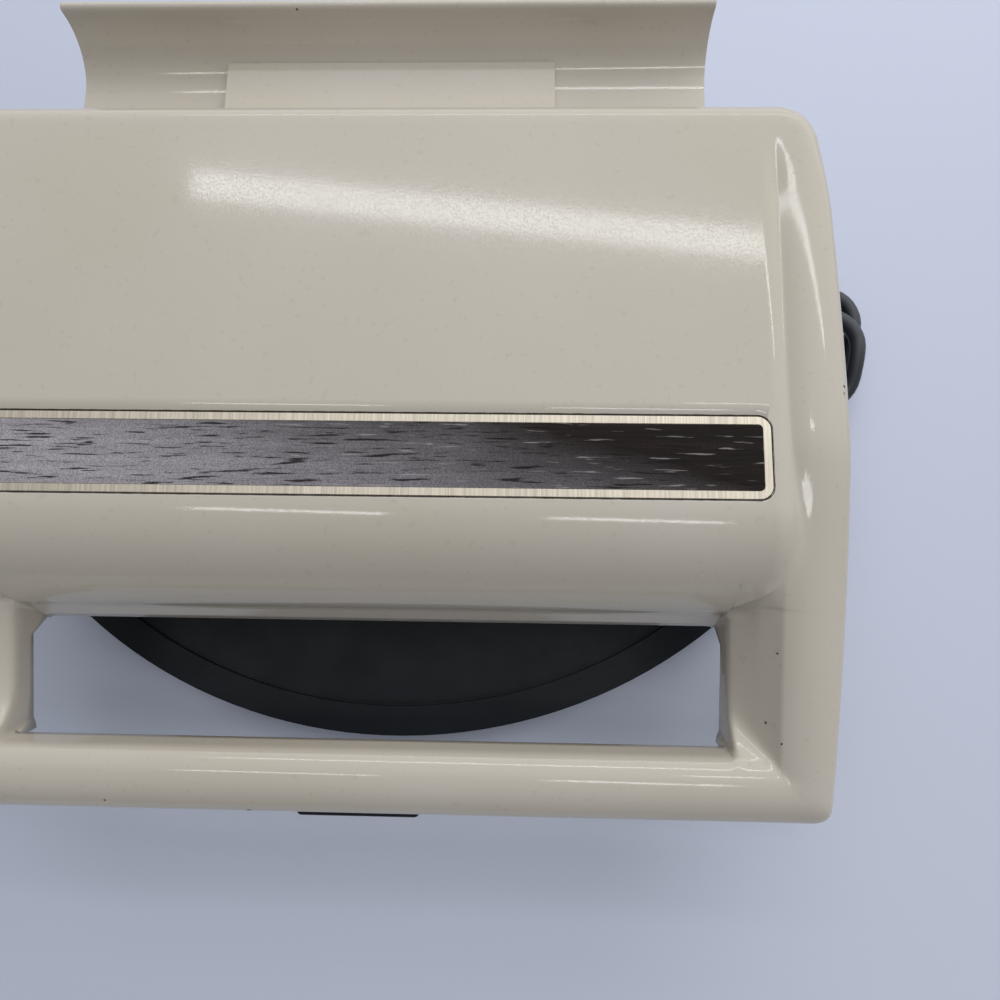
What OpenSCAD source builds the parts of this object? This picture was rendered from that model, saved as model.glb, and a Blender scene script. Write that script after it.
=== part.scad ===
// Countertop sandwich toaster with a hinged lid, a loop handle and a round-fronted base pan.
// Millimetres, +Z up, the front (handle) towards -Y. The origin lies on the table, below the middle.

/* [Plan] */
// Width of the lid across the middle of its length
lid_w = 300; // [292:1:308]
// How far each side of the lid draws in from its middle to its ends
side_bow = 5; // [3:0.5:7]
// Radius of the lid's rear corners in plan
rear_corner_r = 14; // [10:1:18]
// Radius of the lid's front corners in plan
front_corner_r = 5; // [4:0.5:8]
// Depth of the handle bar, front to back along its dip
bar_d = 20.3; // [18:0.1:24]
// Depth of the hand opening, front to back along its dip
opening_d = 42.5; // [38:0.5:47]
// Distance of the hand opening from the lid's side
opening_inset = 33.5; // [32:0.5:37.5]
// Length of the lid's body, from its front lip to its rear wall
body_l = 169; // [165:1:180]
// Reach of the rear gutter behind the lid
gutter_d = 45; // [45:1:50]
// Distance of the gutter's ends from the lid's side
gutter_inset = 35.3; // [30:0.1:40]

/* [Heights] */
// Height of the rubber feet
foot_h = 5; // [4:0.5:8]
// Height of the base pan's rim above its lower edge
pan_h = 9; // [8:0.5:12]
// Height of the lower housing above the pan's floor
housing_h = 46.7; // [44:0.1:52]
// Gap between the lower housing and the lid's skirt
seam = 0.5; // [0.4:0.1:1.5]
// Height of the lid, skirt to top
lid_h = 44; // [43:0.5:48]
// Height of the handle bar's skirt
bar_h = 15; // [13:0.5:17]
// Height of the side rails where they pass the hand opening
rail_h = 25; // [23:0.5:28]
// Angle by which the handle and the front halves of the rails dip
dip = 10.7; // [8:0.1:12]

/* [Shells] */
// Wall of the moulded shells
wall = 3; // [2.5:0.1:3.4]
// Width of each side rail, from the crease to the outside
rail_w = 20; // [18:0.5:21]
// Radius of the rails' crown
rail_crown_r = 20; // [18:1:26]
// Radius of the bar's crown
bar_crown_r = 14; // [13:0.5:20]
// Radius of the roll at the front of the lid's body
roll_r = 31; // [26:1:34]
// Flare of the body's front lip, below the roll
lip_flare = 4; // [2:0.5:6]
// Radius along the lid's rear top edge
rear_edge_r = 7; // [5:0.5:8]
// Radius along the outer top edge of the rails
rail_edge_r = 7; // [5:0.5:9]
// Width of the notch in the handle bar's skirt
notch_w = 40; // [30:1:60]
// Height of the notch in the handle bar's skirt
notch_h = 3.3; // [3.3:0.1:4.5]
// Radius of the gutter's concave wall
gutter_r = 18; // [16:0.5:18.5]
// Wall of the gutter at its lip
lip_t = 3.5; // [3:0.1:4]
// Drop of the gutter's lip below the top of the lid
lip_drop = 9.5; // [8:0.5:12]

/* [Badge] */
// Distance of the badge plate's ends from the lid's side
badge_inset = 26; // [25:0.5:35]
// Width of the badge plate
badge_l = 25; // [20:0.5:28]
// Distance of the badge's middle behind the body's front lip
badge_back = 49.5; // [48:0.5:60]
// Thickness of the badge plate
badge_t = 1; // [0.8:0.1:1.5]
// Width of the badge's bright border
badge_border = 2.3; // [1.5:0.1:4]

/* [Cooking plates] */
// Distance of the cooking plates from the lid's side
plate_inset = 22.5; // [21.5:0.5:26]
// Distance of the cooking plates from the front of the lid's body
plate_front = 15.5; // [15.5:0.5:18]
// Distance of the cooking plates from the lid's rear wall
plate_rear = 10.5; // [10:0.5:12]
// Thickness of the plates' metal
plate_t = 3.5; // [3:0.1:4]
// Depth of the sandwich pockets
pocket_d = 10; // [8:0.5:10.5]
// Flat rim beside the sandwich wells
side_rim = 10.5; // [9.5:0.5:14]
// Flat rim in front of the sandwich wells and behind them
end_rim = 11.5; // [11:0.5:15]
// Thickness of the seal ridges
ridge_t = 7; // [6:0.5:10]
// Gap between the closed plates' faces
plate_gap = 0.6; // [0.4:0.1:1]
// Diameter of the heating elements' sheath
element_d = 6.6; // [6:0.1:7]
// Thickness of the reflector pans
reflector_t = 1; // [0.8:0.1:1.2]

/* [Hinge] */
// Diameter of the hinge pin
pin_d = 4.8; // [4:0.1:5]
// Distance of the hinge axis behind the lid's rear wall
axis_back = 9; // [8.6:0.1:9.5]
// Depth of the hinge axis below the top of the lid
axis_drop = 28.5; // [28:0.1:29]
// Width of the fixed hinge block
block_w = 120; // [100:1:130]
// Depth of the top of the hinge block below the top of the lid
block_drop = 23.5; // [23:0.1:24]
// Width of each lid lug on the pin
lug_w = 8; // [6:0.5:10]
// Radial clearance of the pin in its bores
pin_fit = 0.05; // [0.03:0.01:0.09]

/* [Base] */
// Inset of the base pan's sides from the lid's sides
pan_inset = 2; // [1:0.5:4]
// Radius of the pan's round front
pan_front_r = 204; // [196:1:215]
// Reach of the pan's front edge ahead of the origin
pan_front = 122; // [116:1:126]
// Reach of the pan's rear edge behind the origin
pan_rear = 126; // [125:1:130]
// Width of the raised ring around the pan
ring_w = 11.5; // [10:0.5:12]
// Diameter of the rubber feet
foot_d = 18; // [14:1:20]

/* [Mains lead] */
// Diameter of the mains lead
cord_d = 6.5; // [6:0.1:7]
// Height of the lead's outlet above the table
outlet_z = 26; // [24:0.5:30]
// Length of the strain relief outside the housing
relief_l = 22; // [18:1:26]

/* [Hidden] */
$fn = 64;

almond = [0.75, 0.71, 0.64];
phenolic = [0.08, 0.09, 0.1];
nonstick = [0.16, 0.16, 0.17];
steel = [0.62, 0.62, 0.64];
bright = [0.8, 0.79, 0.76];
rubber = [0.06, 0.06, 0.07];
walnut = [0.2, 0.14, 0.11];

gap = 0.3;          // clearance between separate pieces
over = 1;           // overshoot of a cutting shape
fine = 360;         // facets of the large arcs
draft = 32;         // facets of shapes that are blended by hull()
far = 400;          // larger than the whole object

// Stations along Y; y_front and y_open are those of the straight lid, before its front half dips
half_l = (bar_d + opening_d + body_l) / 2;
bar_shoulder = bar_crown_r - sqrt(pow(bar_crown_r, 2) - pow(bar_d / 2, 2));
overall_l = half_l + half_l * cos(dip) - bar_shoulder * sin(dip) + gutter_d;
y_lip = overall_l / 2;
y_rear = y_lip - gutter_d;
y_mid = y_rear - half_l;
y_body = y_rear - body_l;
y_open = y_body - opening_d;
y_front = y_open - bar_d;
y_axis = y_rear + axis_back;
y_roll = y_body + lip_flare + roll_r;
y_arc = y_lip - lip_t - gutter_r;
y_plate = (y_body + plate_front + y_rear - plate_rear) / 2;
y_badge = y_body + badge_back;

// Levels along Z
rim_z = foot_h + pan_h;
floor_drop = 1.2;
floor_z = rim_z - floor_drop;
pan_t = 3;
deck_z = floor_z + housing_h;
lid_z = deck_z + seam;
top_z = lid_z + lid_h;
bar_z = top_z - bar_h;
rail_z = top_z - rail_h;
axis_z = top_z - axis_drop;
block_z = top_z - block_drop;
lip_z = top_z - lip_drop;
gutter_z = lip_z - gutter_r;
shelf_z = axis_z - 9.5;
roll_z = top_z - roll_r;

// Plan of the lid: two long arcs, with round corners tangent to them
half_w = lid_w / 2;
opening_w = lid_w - 2 * opening_inset;
gutter_w = lid_w - 2 * gutter_inset;
badge_w = lid_w - 2 * badge_inset;
pan_half_w = half_w - pan_inset;
plate_w = lid_w - 2 * plate_inset;
plate_l = body_l - plate_front - plate_rear;
bow_r = (half_l * half_l + side_bow * side_bow) / (2 * side_bow);
bow_x = half_w - bow_r;
crease_x = half_w - rail_w;
crown_x = crease_x + 8;
open_x = opening_w / 2;

// x of the centre of a corner circle of radius r, at distance d from the middle of the length
function corner_x(r, d) = bow_x + sqrt(pow(bow_r - r, 2) - d * d);
// Distance from the middle at which that circle touches the long arc, for an outline drawn in by `in`
function touch(r, d, in) = d * (bow_r - in) / (bow_r - r);

// Extrudes a (y, z) shape along X, and an (x, z) shape along Y
module along_x(x0, x1) {
    translate([x0, 0, 0]) rotate([90, 0, 90]) linear_extrude(x1 - x0) children();
}
module along_y(y0, y1) {
    translate([0, y1, 0]) rotate([90, 0, 0]) linear_extrude(y1 - y0) children();
}
module along_z(z0, z1) {
    translate([0, 0, z0]) linear_extrude(z1 - z0) children();
}
// A rectangle between two corners
module box2(a, b) {
    translate(a) square(b - a);
}
module box3(a, b) {
    translate(a) cube(b - a);
}
// The children and their mirror image across the middle plane
module both_sides() {
    children();
    mirror([1, 0, 0]) children();
}
// A rod along X, Y or Z
module rod_x(x0, x1, r) {
    translate([x0, 0, 0]) rotate([0, 90, 0]) cylinder(h = x1 - x0, r = r);
}
module rod_y(y0, y1, r) {
    translate([0, y1, 0]) rotate([90, 0, 0]) cylinder(h = y1 - y0, r = r);
}

// ---------------------------------------------------------------- lid

// Turns the children down about the line across the lid's top at the middle of its length
module dipped(angle = dip) {
    translate([0, y_mid, top_z]) rotate([angle, 0, 0]) translate([0, -y_mid, -top_z]) children();
}
// Where a (y, z) point of the straight lid goes
function dip_point(y, z) = [
    y_mid + (y - y_mid) * cos(dip) - (z - top_z) * sin(dip),
    top_z + (y - y_mid) * sin(dip) + (z - top_z) * cos(dip)
];

module lid_lens(in) {
    intersection_for(x = [bow_x, -bow_x]) translate([x, y_mid]) rotate(90) circle(r = bow_r - in, $fn = fine);
}
module lid_plan(in) {
    d_rear = half_l - rear_corner_r;
    d_front = half_l - front_corner_r;
    x_rear = corner_x(rear_corner_r, d_rear);
    x_front = corner_x(front_corner_r, d_front);
    intersection() {
        lid_lens(in);
        box2([-half_w, y_mid - touch(front_corner_r, d_front, in)],
             [half_w, y_mid + touch(rear_corner_r, d_rear, in)]);
    }
    translate([0, y_mid]) {
        box2([-x_rear, 0], [x_rear, half_l - in]);
        box2([-x_front, in - half_l], [x_front, 0]);
        both_sides() translate([x_rear, d_rear]) circle(r = rear_corner_r - in);
        both_sides() translate([x_front, -d_front]) circle(r = front_corner_r - in);
    }
}

// (y, z) outline of the lid's body: flat top, round rear edge, large front roll over a flared lip
module body_profile(in) {
    z0 = lid_z - in;
    z1 = top_z - in;
    e = rear_edge_r - in;
    box2([y_roll, z0], [y_rear - in - e, z1]);
    box2([y_roll, z0], [y_rear - in, z1 - e]);
    translate([y_rear - in - e, z1 - e]) circle(r = e);
    intersection() {
        translate([y_roll, roll_z]) circle(r = roll_r - in, $fn = 2 * $fn);
        box2([y_roll - roll_r, roll_z], [y_roll + over, z1]);
    }
    polygon([
        [y_roll + over, z0], [y_body + in, z0],
        [y_roll - roll_r + in, roll_z], [y_roll + over, roll_z]
    ]);
}

// (x, z) outline of a side rail: upright lip at the opening, slope, and a crown
slope_x = crease_x - 1 - open_x;
slope_z = 13.5;
slope_a = atan2(slope_z, slope_x);
module rail_profile(in) {
    z0 = lid_z - wall - over;
    foot_z = bar_z - in * tan(45 - slope_a / 2);
    head = [crease_x - 1 + in * sin(slope_a), bar_z + slope_z - in * cos(slope_a)];
    polygon([[open_x + in, z0], [open_x + in, foot_z], head, [crown_x, head[1]], [crown_x, z0]]);
    intersection() {
        translate([crown_x, top_z - rail_crown_r]) circle(r = rail_crown_r - in);
        box2([head[0], top_z - rail_crown_r], [half_w + over, top_z + over]);
    }
    box2([crown_x - over, z0], [half_w + over, top_z - rail_crown_r]);
}

// (y, z) outline of the handle bar: two upright walls under a crown, a little below the rails' crests
bar_sink = 0.15;
module bar_profile(in) {
    intersection() {
        box2([y_front + in, bar_z - in], [y_open - in, top_z + over]);
        union() {
            translate([(y_front + y_open) / 2, top_z - bar_sink - bar_crown_r]) circle(r = bar_crown_r - in);
            box2([y_front, bar_z - in], [y_open, top_z - bar_sink - bar_crown_r]);
        }
    }
}

// x of the lid's side at y, and how far an edge of radius r has dropped at distance q from where it ends
function side_x(y, in) = bow_x + sqrt(pow(bow_r - in, 2) - pow(y - y_mid, 2));
function edge_drop(r, q) = q < r ? r - sqrt(r * r - pow(r - q, 2)) : 0;

// A thin cross-section of the right rail, with its outer edge rounded. It is `cut` narrower, `low` lower.
slice = 0.02;
module rail_slice(y, in, cut, low) {
    x = side_x(y, in) - cut;
    z = top_z - in - low;
    e = rail_edge_r - in;
    along_y(y - slice, y + slice) intersection() {
        rail_profile(in);
        union() {
            box2([0, 0], [x, z - e]);
            box2([0, 0], [x - e, z]);
            translate([x - e, z - e]) circle(r = e, $fn = draft);
        }
    }
}
// The right rail, drawn in by `in`: convex, bent where it starts to dip, with round corners at its ends
module rail(in) {
    y0 = y_front + in + slice + lap;
    y1 = y_rear - in - slice - lap;
    r0 = front_corner_r - in;
    r1 = rear_corner_r - in;
    y_crown = (y_front + y_open) / 2;
    steps = 8;
    hull() {
        for (i = [0:steps]) {
            rail_slice(y_mid + (y1 - r1 - y_mid) * i / steps, in, 0, 0);
            dipped() rail_slice(y_mid + (y_crown - y_mid) * i / steps, in, 0, 0);
        }
        for (q = [0, 0.02, 0.07, 0.16, 0.3, 0.5, 0.75])
            rail_slice(y1 - q * r1, in, edge_drop(r1, q * r1), edge_drop(rear_edge_r - in, q * r1));
        for (q = [0, 0.05, 0.2, 0.5, 1])
            dipped() rail_slice(y0 + q * r0, in, edge_drop(r0, q * r0),
                bar_crown_r - in - sqrt(pow(bar_crown_r - in, 2) - pow(y0 + q * r0 - y_crown, 2)));
    }
}

// The whole lid as a solid, drawn in by `in` on every face
lap = 0.05;
bar_lap = 2;          // reach of the bar's ends past the rails' crests
module lid_mass(in) {
    along_x(-crease_x, crease_x) body_profile(in);
    both_sides() rail(in);
    dipped() along_x(-crown_x - bar_lap, crown_x + bar_lap) bar_profile(in);
}

// Everything above the lid's lower edge, which steps up from the body to the rails and the bar
skirt_run = 12;
module skirt_clip() {
    along_x(-far, far) polygon([
        dip_point(y_front - over, bar_z), dip_point(y_open - wall, bar_z), dip_point(y_open, rail_z),
        dip_point(y_body - skirt_run, rail_z), [y_body, lid_z], [y_rear + over, lid_z],
        [y_rear + over, top_z + over], [y_front - over, top_z + over]
    ]);
}

// Places of the screws that hold the plates, in both halves
plate_screw_x = plate_w / 2 - 6;
plate_screw_y = plate_l / 2 - 6.5;
screw_r = 1.5;
frame_screw_l = 11;
liner_screw_l = 8;
plate_screw_l = 20;
pan_head_r = 3;
pan_head_h = 1.8;
screw_hole_r = screw_r + 0.1;
post_r = 4.5;
module at_plate_screws() {
    for (x = [-plate_screw_x, plate_screw_x], y = [-plate_screw_y, plate_screw_y])
        translate([x, y_plate + y, 0]) children();
}
// Places of the screws that hold the lid's inner frame, and the handle's liner in rails and bar
frame_screw_x = crown_x - 0.5;
module at_frame_screws() {
    for (x = [-frame_screw_x, frame_screw_x], y = [11.5 - plate_l / 2, plate_l / 2 - 11.5])
        translate([x, y_plate + y, 0]) children();
}
module at_rail_screws() {
    dipped() both_sides() translate([crown_x - 4, y_open + opening_d * 0.6, 0]) children();
}
module at_bar_screws() {
    dipped() both_sides() translate([crown_x - 8, (y_front + y_open) / 2, 0]) children();
}

frame_t = 3;
frame_z = lid_z + gap;                 // underside of the lid's inner frame
liner_z = bar_z;                       // underside of the liner in the bar
liner_t = 3;
rail_liner_z = bar_z - liner_t;        // underside of the liner in the rails
upper_face_z = lid_z + gap;            // cooking face of the upper plate
lower_face_z = upper_face_z - plate_gap;
lug_x0 = block_w / 2 + 0.5;
lug_z = [shelf_z + 0.7, axis_z + 6.5];
lug_screw_x = lug_x0 + lug_w + 4;
lug_screw_z = [axis_z - 5, axis_z + 3];
lead_x = lug_x0 + lug_w + 14;          // where the lid's leads pass its rear wall
lead_r = 2;

module badge_plan(in, r) {
    hx = badge_w / 2 - in - r;
    hy = badge_l / 2 - in - r;
    translate([0, y_badge]) {
        box2([-hx - r, -hy], [hx + r, hy]);
        box2([-hx, -hy - r], [hx, hy + r]);
        for (x = [-hx, hx], y = [-hy, hy]) translate([x, y]) circle(r = r);
    }
}
badge_r = 4;
badge_sink = 0.8;

module lid_shell() {
    color(almond) difference() {
        union() {
            difference() {
                intersection() {
                    lid_mass(0);
                    skirt_clip();
                }
                difference() {
                    lid_mass(wall);
                    both_sides() box3([open_x, y_body, 0], [half_w, y_body + wall, top_z]);
                }
            }
            intersection() {
                union() {
                    at_plate_screws() along_z(upper_face_z + plate_t, top_z) circle(r = post_r);
                    at_frame_screws() along_z(frame_z + frame_t, top_z) circle(r = post_r);
                    at_rail_screws() along_z(rail_liner_z + liner_t, top_z) circle(r = post_r);
                    at_bar_screws() along_z(liner_z + liner_t, top_z) circle(r = post_r);
                }
                lid_mass(wall / 2);
            }
        }
        at_plate_screws() along_z(lid_z, upper_face_z + plate_screw_l) circle(r = screw_hole_r);
        at_frame_screws() along_z(lid_z, frame_z + frame_screw_l + over) circle(r = screw_hole_r);
        at_rail_screws() along_z(lid_z, rail_liner_z + liner_screw_l + over) circle(r = screw_hole_r);
        at_bar_screws() along_z(lid_z, liner_z + liner_screw_l + over) circle(r = screw_hole_r);
        along_z(top_z - badge_sink, top_z + over) badge_plan(-gap, badge_r + gap);
        dipped() box3([-notch_w / 2, y_front - over, bar_z - over], [notch_w / 2, y_front + wall + over, bar_z + notch_h]);
        both_sides() for (z = lug_screw_z)
            translate([lug_screw_x, 0, z]) rod_y(y_rear - 2 * wall, y_rear + over, screw_hole_r);
        translate([lead_x, 0, axis_z]) rod_y(y_rear - 2 * wall, y_rear + over, lead_r + gap);
    }
}

badge_pocket = 0.5;
inlay_fit = 0.15;
module badge_plate() {
    color(bright) difference() {
        along_z(top_z - badge_sink, top_z - badge_sink + badge_t) badge_plan(0, badge_r);
        along_z(top_z - badge_sink + badge_t - badge_pocket, top_z + over) badge_plan(badge_border, 1.5);
    }
}

module badge_inlay() {
    z0 = top_z - badge_sink + badge_t - badge_pocket;
    color(walnut) along_z(z0, z0 + badge_pocket - 0.1) badge_plan(badge_border + inlay_fit, 1.5 - inlay_fit);
}

// A countersunk screw with its head's face at z = 0, pointing down
head_r = 2.8;
module flat_screw(l) {
    mirror([0, 0, 1]) {
        cylinder(h = head_r - screw_r, r1 = head_r, r2 = screw_r);
        cylinder(h = l, r = screw_r);
    }
}
// The seat that such a screw needs, with clearance
module flat_seat(l) {
    fit = 0.1;
    mirror([0, 0, 1]) {
        translate([0, 0, -over]) cylinder(h = over + fit, r = head_r + fit);
        translate([0, 0, fit]) cylinder(h = head_r - screw_r, r1 = head_r + fit, r2 = screw_r + fit);
        cylinder(h = l, r = screw_hole_r);
    }
}

module handle_liner() {
    bar_in = wall + gap;
    z1 = liner_z + liner_t;
    knee = [open_x + bar_in + 5, y_open + 5];
    color(phenolic) difference() {
        dipped() union() {
            intersection() {
                along_z(rail_liner_z, z1) lid_plan(bar_in);
                union() {
                    box3([-half_w, y_front, liner_z], [half_w, y_open - bar_in, z1]);
                    both_sides() {
                        box3([knee[0], y_front, liner_z], [half_w, knee[1], z1]);
                        box3([open_x + bar_in + liner_t / 2, y_open - gap, 0], [half_w, y_body - skirt_run, liner_z]);
                    }
                }
            }
            box3([-notch_w / 2 + gap, y_front + 0.6, liner_z], [notch_w / 2 - gap, y_front + 2 * wall, z1]);
        }
        at_rail_screws() translate([0, 0, rail_liner_z]) mirror([0, 0, 1]) flat_seat(liner_t + over);
        at_bar_screws() translate([0, 0, liner_z]) mirror([0, 0, 1]) flat_seat(liner_t + over);
    }
}

window_x = plate_w / 2 + 1.5;
window_y = plate_l / 2 + 1.5;
frame_fit = 0.6;      // clearance of the inner frame beside the shell, whose front half leans
frame_flare = lip_flare * (frame_z + frame_t + wall - lid_z) / (roll_z + wall - lid_z);
frame_y = [y_body + wall + frame_flare + gap, y_rear - wall - gap];
module lid_frame() {
    color(phenolic) difference() {
        along_z(frame_z, frame_z + frame_t) intersection() {
            lid_lens(wall + frame_fit);
            polygon([
                [-half_w, frame_y[0]], [half_w, frame_y[0]], [half_w, frame_y[1] - rear_corner_r],
                [half_w - side_bow - rear_corner_r, frame_y[1]], [-half_w + side_bow + rear_corner_r, frame_y[1]],
                [-half_w, frame_y[1] - rear_corner_r]
            ]);
        }
        box3([-window_x, y_plate - window_y, 0], [window_x, y_plate + window_y, top_z]);
        at_frame_screws() translate([0, 0, frame_z]) mirror([0, 0, 1]) flat_seat(frame_t + over);
    }
}

module inner_trim_screws() {
    color(steel) {
        at_frame_screws() translate([0, 0, frame_z]) mirror([0, 0, 1]) flat_screw(frame_screw_l);
        at_rail_screws() translate([0, 0, rail_liner_z]) mirror([0, 0, 1]) flat_screw(liner_screw_l);
        at_bar_screws() translate([0, 0, liner_z]) mirror([0, 0, 1]) flat_screw(liner_screw_l);
    }
}

// ---------------------------------------------------------------- hinge

lug_t = 2.5;
module lid_hinge_lugs() {
    color(steel) both_sides() difference() {
        union() {
            translate([lug_x0, y_axis, axis_z]) rotate([0, 90, 0]) cylinder(h = lug_w, r = 6.5);
            box3([lug_x0, y_rear, axis_z - 6.5], [lug_x0 + lug_w, y_axis, axis_z + 6.5]);
            box3([lug_x0, y_rear, lug_z[0]], [lug_screw_x + 4, y_rear + lug_t, lug_z[1]]);
        }
        translate([0, y_axis, axis_z]) rod_x(lug_x0 - over, lug_x0 + lug_w + over, pin_d / 2 + pin_fit);
        for (z = lug_screw_z)
            translate([lug_screw_x, 0, z]) rod_y(y_rear - over, y_rear + lug_t + over, screw_hole_r);
    }
}

// Pan-head screws through the lugs' flanges into the lid's rear wall
module lug_screws() {
    color(steel) both_sides() for (z = lug_screw_z) translate([lug_screw_x, 0, z]) {
        rod_y(y_rear - 2 * wall, y_rear + lug_t, screw_r);
        rod_y(y_rear + lug_t, y_rear + lug_t + 1.5, 2.6);
    }
}

pin_x = lug_x0 + lug_w + 2.2;
clip_t = 0.8;
module hinge_pin() {
    color(steel) translate([0, y_axis, axis_z]) difference() {
        rod_x(-pin_x, pin_x, pin_d / 2);
        both_sides() difference() {
            rod_x(pin_x - 1.7, pin_x - 1.7 + clip_t + 0.1, pin_d / 2 + over);
            rod_x(pin_x - 2, pin_x, pin_d / 2 - 0.5);
        }
    }
}
module pin_clips() {
    color(steel) translate([0, y_axis, axis_z]) both_sides() difference() {
        rod_x(pin_x - 1.65, pin_x - 1.65 + clip_t, 4.5);
        rod_x(pin_x - 2, pin_x, pin_d / 2 - 0.45);
        translate([pin_x - 2, -1.6, -6]) cube([2, 3.2, 6]);
    }
}

// ---------------------------------------------------------------- base

// Plan of the base pan: round front, blended into straight sides, round rear corners
pan_corner_r = 40;
pan_rear_r = 30;
pan_yc = pan_front_r - pan_front;
pan_cx = pan_half_w - pan_corner_r;
pan_cy = pan_yc - sqrt(pow(pan_front_r - pan_corner_r, 2) - pan_cx * pan_cx);
module pan_plan(in) {
    reach = pan_front_r / (pan_front_r - pan_corner_r);
    side = reach * pan_cx;
    back = pan_yc + reach * (pan_cy - pan_yc);
    intersection() {
        translate([0, pan_yc]) circle(r = pan_front_r - in, $fn = 2 * fine);
        polygon([[0, pan_yc], [-side, back], [-side, back - pan_front_r], [side, back - pan_front_r], [side, back]]);
    }
    polygon([
        [-pan_half_w + in, pan_cy], [-pan_half_w + in, pan_rear - pan_rear_r],
        [-pan_half_w + pan_rear_r, pan_rear - in], [pan_half_w - pan_rear_r, pan_rear - in],
        [pan_half_w - in, pan_rear - pan_rear_r], [pan_half_w - in, pan_cy]
    ]);
    both_sides() {
        translate([pan_cx, pan_cy]) circle(r = pan_corner_r - in, $fn = 2 * $fn);
        translate([pan_half_w - pan_rear_r, pan_rear - pan_rear_r]) circle(r = pan_rear_r - in, $fn = 2 * $fn);
    }
}

groove_w = 1.6;
groove_d = 2;
foot_x = pan_half_w - pan_corner_r;
foot_y = [pan_cy - 14.6, pan_rear - 34];
module at_feet() {
    for (x = [-foot_x, foot_x], y = foot_y) translate([x, y, 0]) children();
}
housing_screw_x = pan_half_w - ring_w - groove_w - 16.9;
housing_screw_y = [y_plate - 34, y_plate + 34];
module at_housing_screws() {
    for (x = [-housing_screw_x, housing_screw_x], y = housing_screw_y) translate([x, y, 0]) children();
}
foot_stem_r = 2.5;
foot_stem_h = 4.5;
module base_pan() {
    plate_z = floor_z - pan_t;
    color(phenolic) difference() {
        union() {
            difference() {
                along_z(foot_h, rim_z) pan_plan(0);
                along_z(foot_h - over, plate_z) pan_plan(wall);
                along_z(floor_z, rim_z + over) pan_plan(ring_w + groove_w);
                along_z(rim_z - groove_d, rim_z + over) difference() {
                    pan_plan(ring_w);
                    pan_plan(ring_w + groove_w);
                }
            }
            at_feet() along_z(foot_h, floor_z - over) circle(r = foot_d / 2 - 1);
            at_plate_screws() along_z(floor_z - over, lower_face_z - plate_t) circle(r = post_r);
        }
        at_feet() along_z(foot_h - over, foot_h + foot_stem_h + gap) circle(r = foot_stem_r + 0.1);
        at_plate_screws() along_z(lower_face_z - plate_screw_l - 4, lower_face_z) circle(r = screw_hole_r);
        at_housing_screws() along_z(plate_z - over, floor_z + over) circle(r = screw_hole_r);
    }
}

module rubber_feet() {
    color(rubber) at_feet() {
        along_z(0, foot_h) circle(r = foot_d / 2);
        along_z(foot_h - over, foot_h + foot_stem_h) circle(r = foot_stem_r);
    }
}

module housing_screws() {
    plate_z = floor_z - pan_t;
    color(steel) at_housing_screws() {
        along_z(plate_z - pan_head_h, plate_z) circle(r = pan_head_r);
        along_z(plate_z - over, floor_z + 10) circle(r = screw_r);
    }
}

// Plan of the lower housing's bowl at its top and at its foot, a rounded rectangle
bowl_top = [half_w - side_bow - 3, y_body + 5, y_rear - 1];
bowl_foot = [pan_half_w - ring_w - groove_w - 3, y_body + 13, y_rear - 4];
bowl_r = 14;
module bowl_plan(size, in) {
    x = size[0] - bowl_r;
    y0 = size[1] + bowl_r;
    y1 = size[2] - bowl_r;
    r = bowl_r - in;
    box2([-x - r, y0], [x + r, y1]);
    box2([-x, y0 - r], [x, y1 + r]);
    for (cx = [-x, x], cy = [y0, y1]) translate([cx, cy]) circle(r = r, $fn = draft);
}
module bowl(in, z0, z1) {
    hull() {
        along_z(z0, z0 + 0.01) bowl_plan(bowl_foot, in);
        along_z(z1 - 0.01, z1) bowl_plan(bowl_top, in);
    }
}

// (y, z) outline of the gutter, a shelf in front and a concave wall behind
shelf_y = [y_rear + 0.6, y_axis + 8];
module gutter_profile() {
    box2([shelf_y[0], deck_z - 2 * wall], [shelf_y[0] + wall, shelf_z]);
    box2([shelf_y[0], shelf_z - wall], [shelf_y[1] + wall, shelf_z]);
    box2([shelf_y[1], shelf_z - wall], [shelf_y[1] + wall, gutter_z]);
    box2([shelf_y[1], gutter_z - wall], [y_arc, gutter_z]);
    difference() {
        intersection() {
            translate([y_arc, lip_z]) circle(r = gutter_r + lip_t, $fn = 2 * $fn);
            box2([y_arc, lip_z - gutter_r - wall], [y_lip, lip_z]);
        }
        translate([y_arc, lip_z]) circle(r = gutter_r, $fn = 2 * $fn);
    }
    translate([y_lip - lip_t / 2, lip_z]) circle(r = lip_t / 2);
}

// (y, z) outline of the hinge block, round in front about the hinge axis
block_y = [y_axis - 8, y_lip - 12.5];
module block_profile() {
    intersection() {
        box2([block_y[0] - over, shelf_z - over], [block_y[1], block_z]);
        union() {
            translate([y_axis, axis_z]) circle(r = 8);
            box2([y_axis, shelf_z - over], [y_arc, block_z]);
            translate([y_arc, lip_z]) circle(r = gutter_r + lip_t / 2, $fn = 2 * $fn);
        }
    }
    box2([y_axis - 6, shelf_z - over], [y_axis, axis_z]);
}

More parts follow.
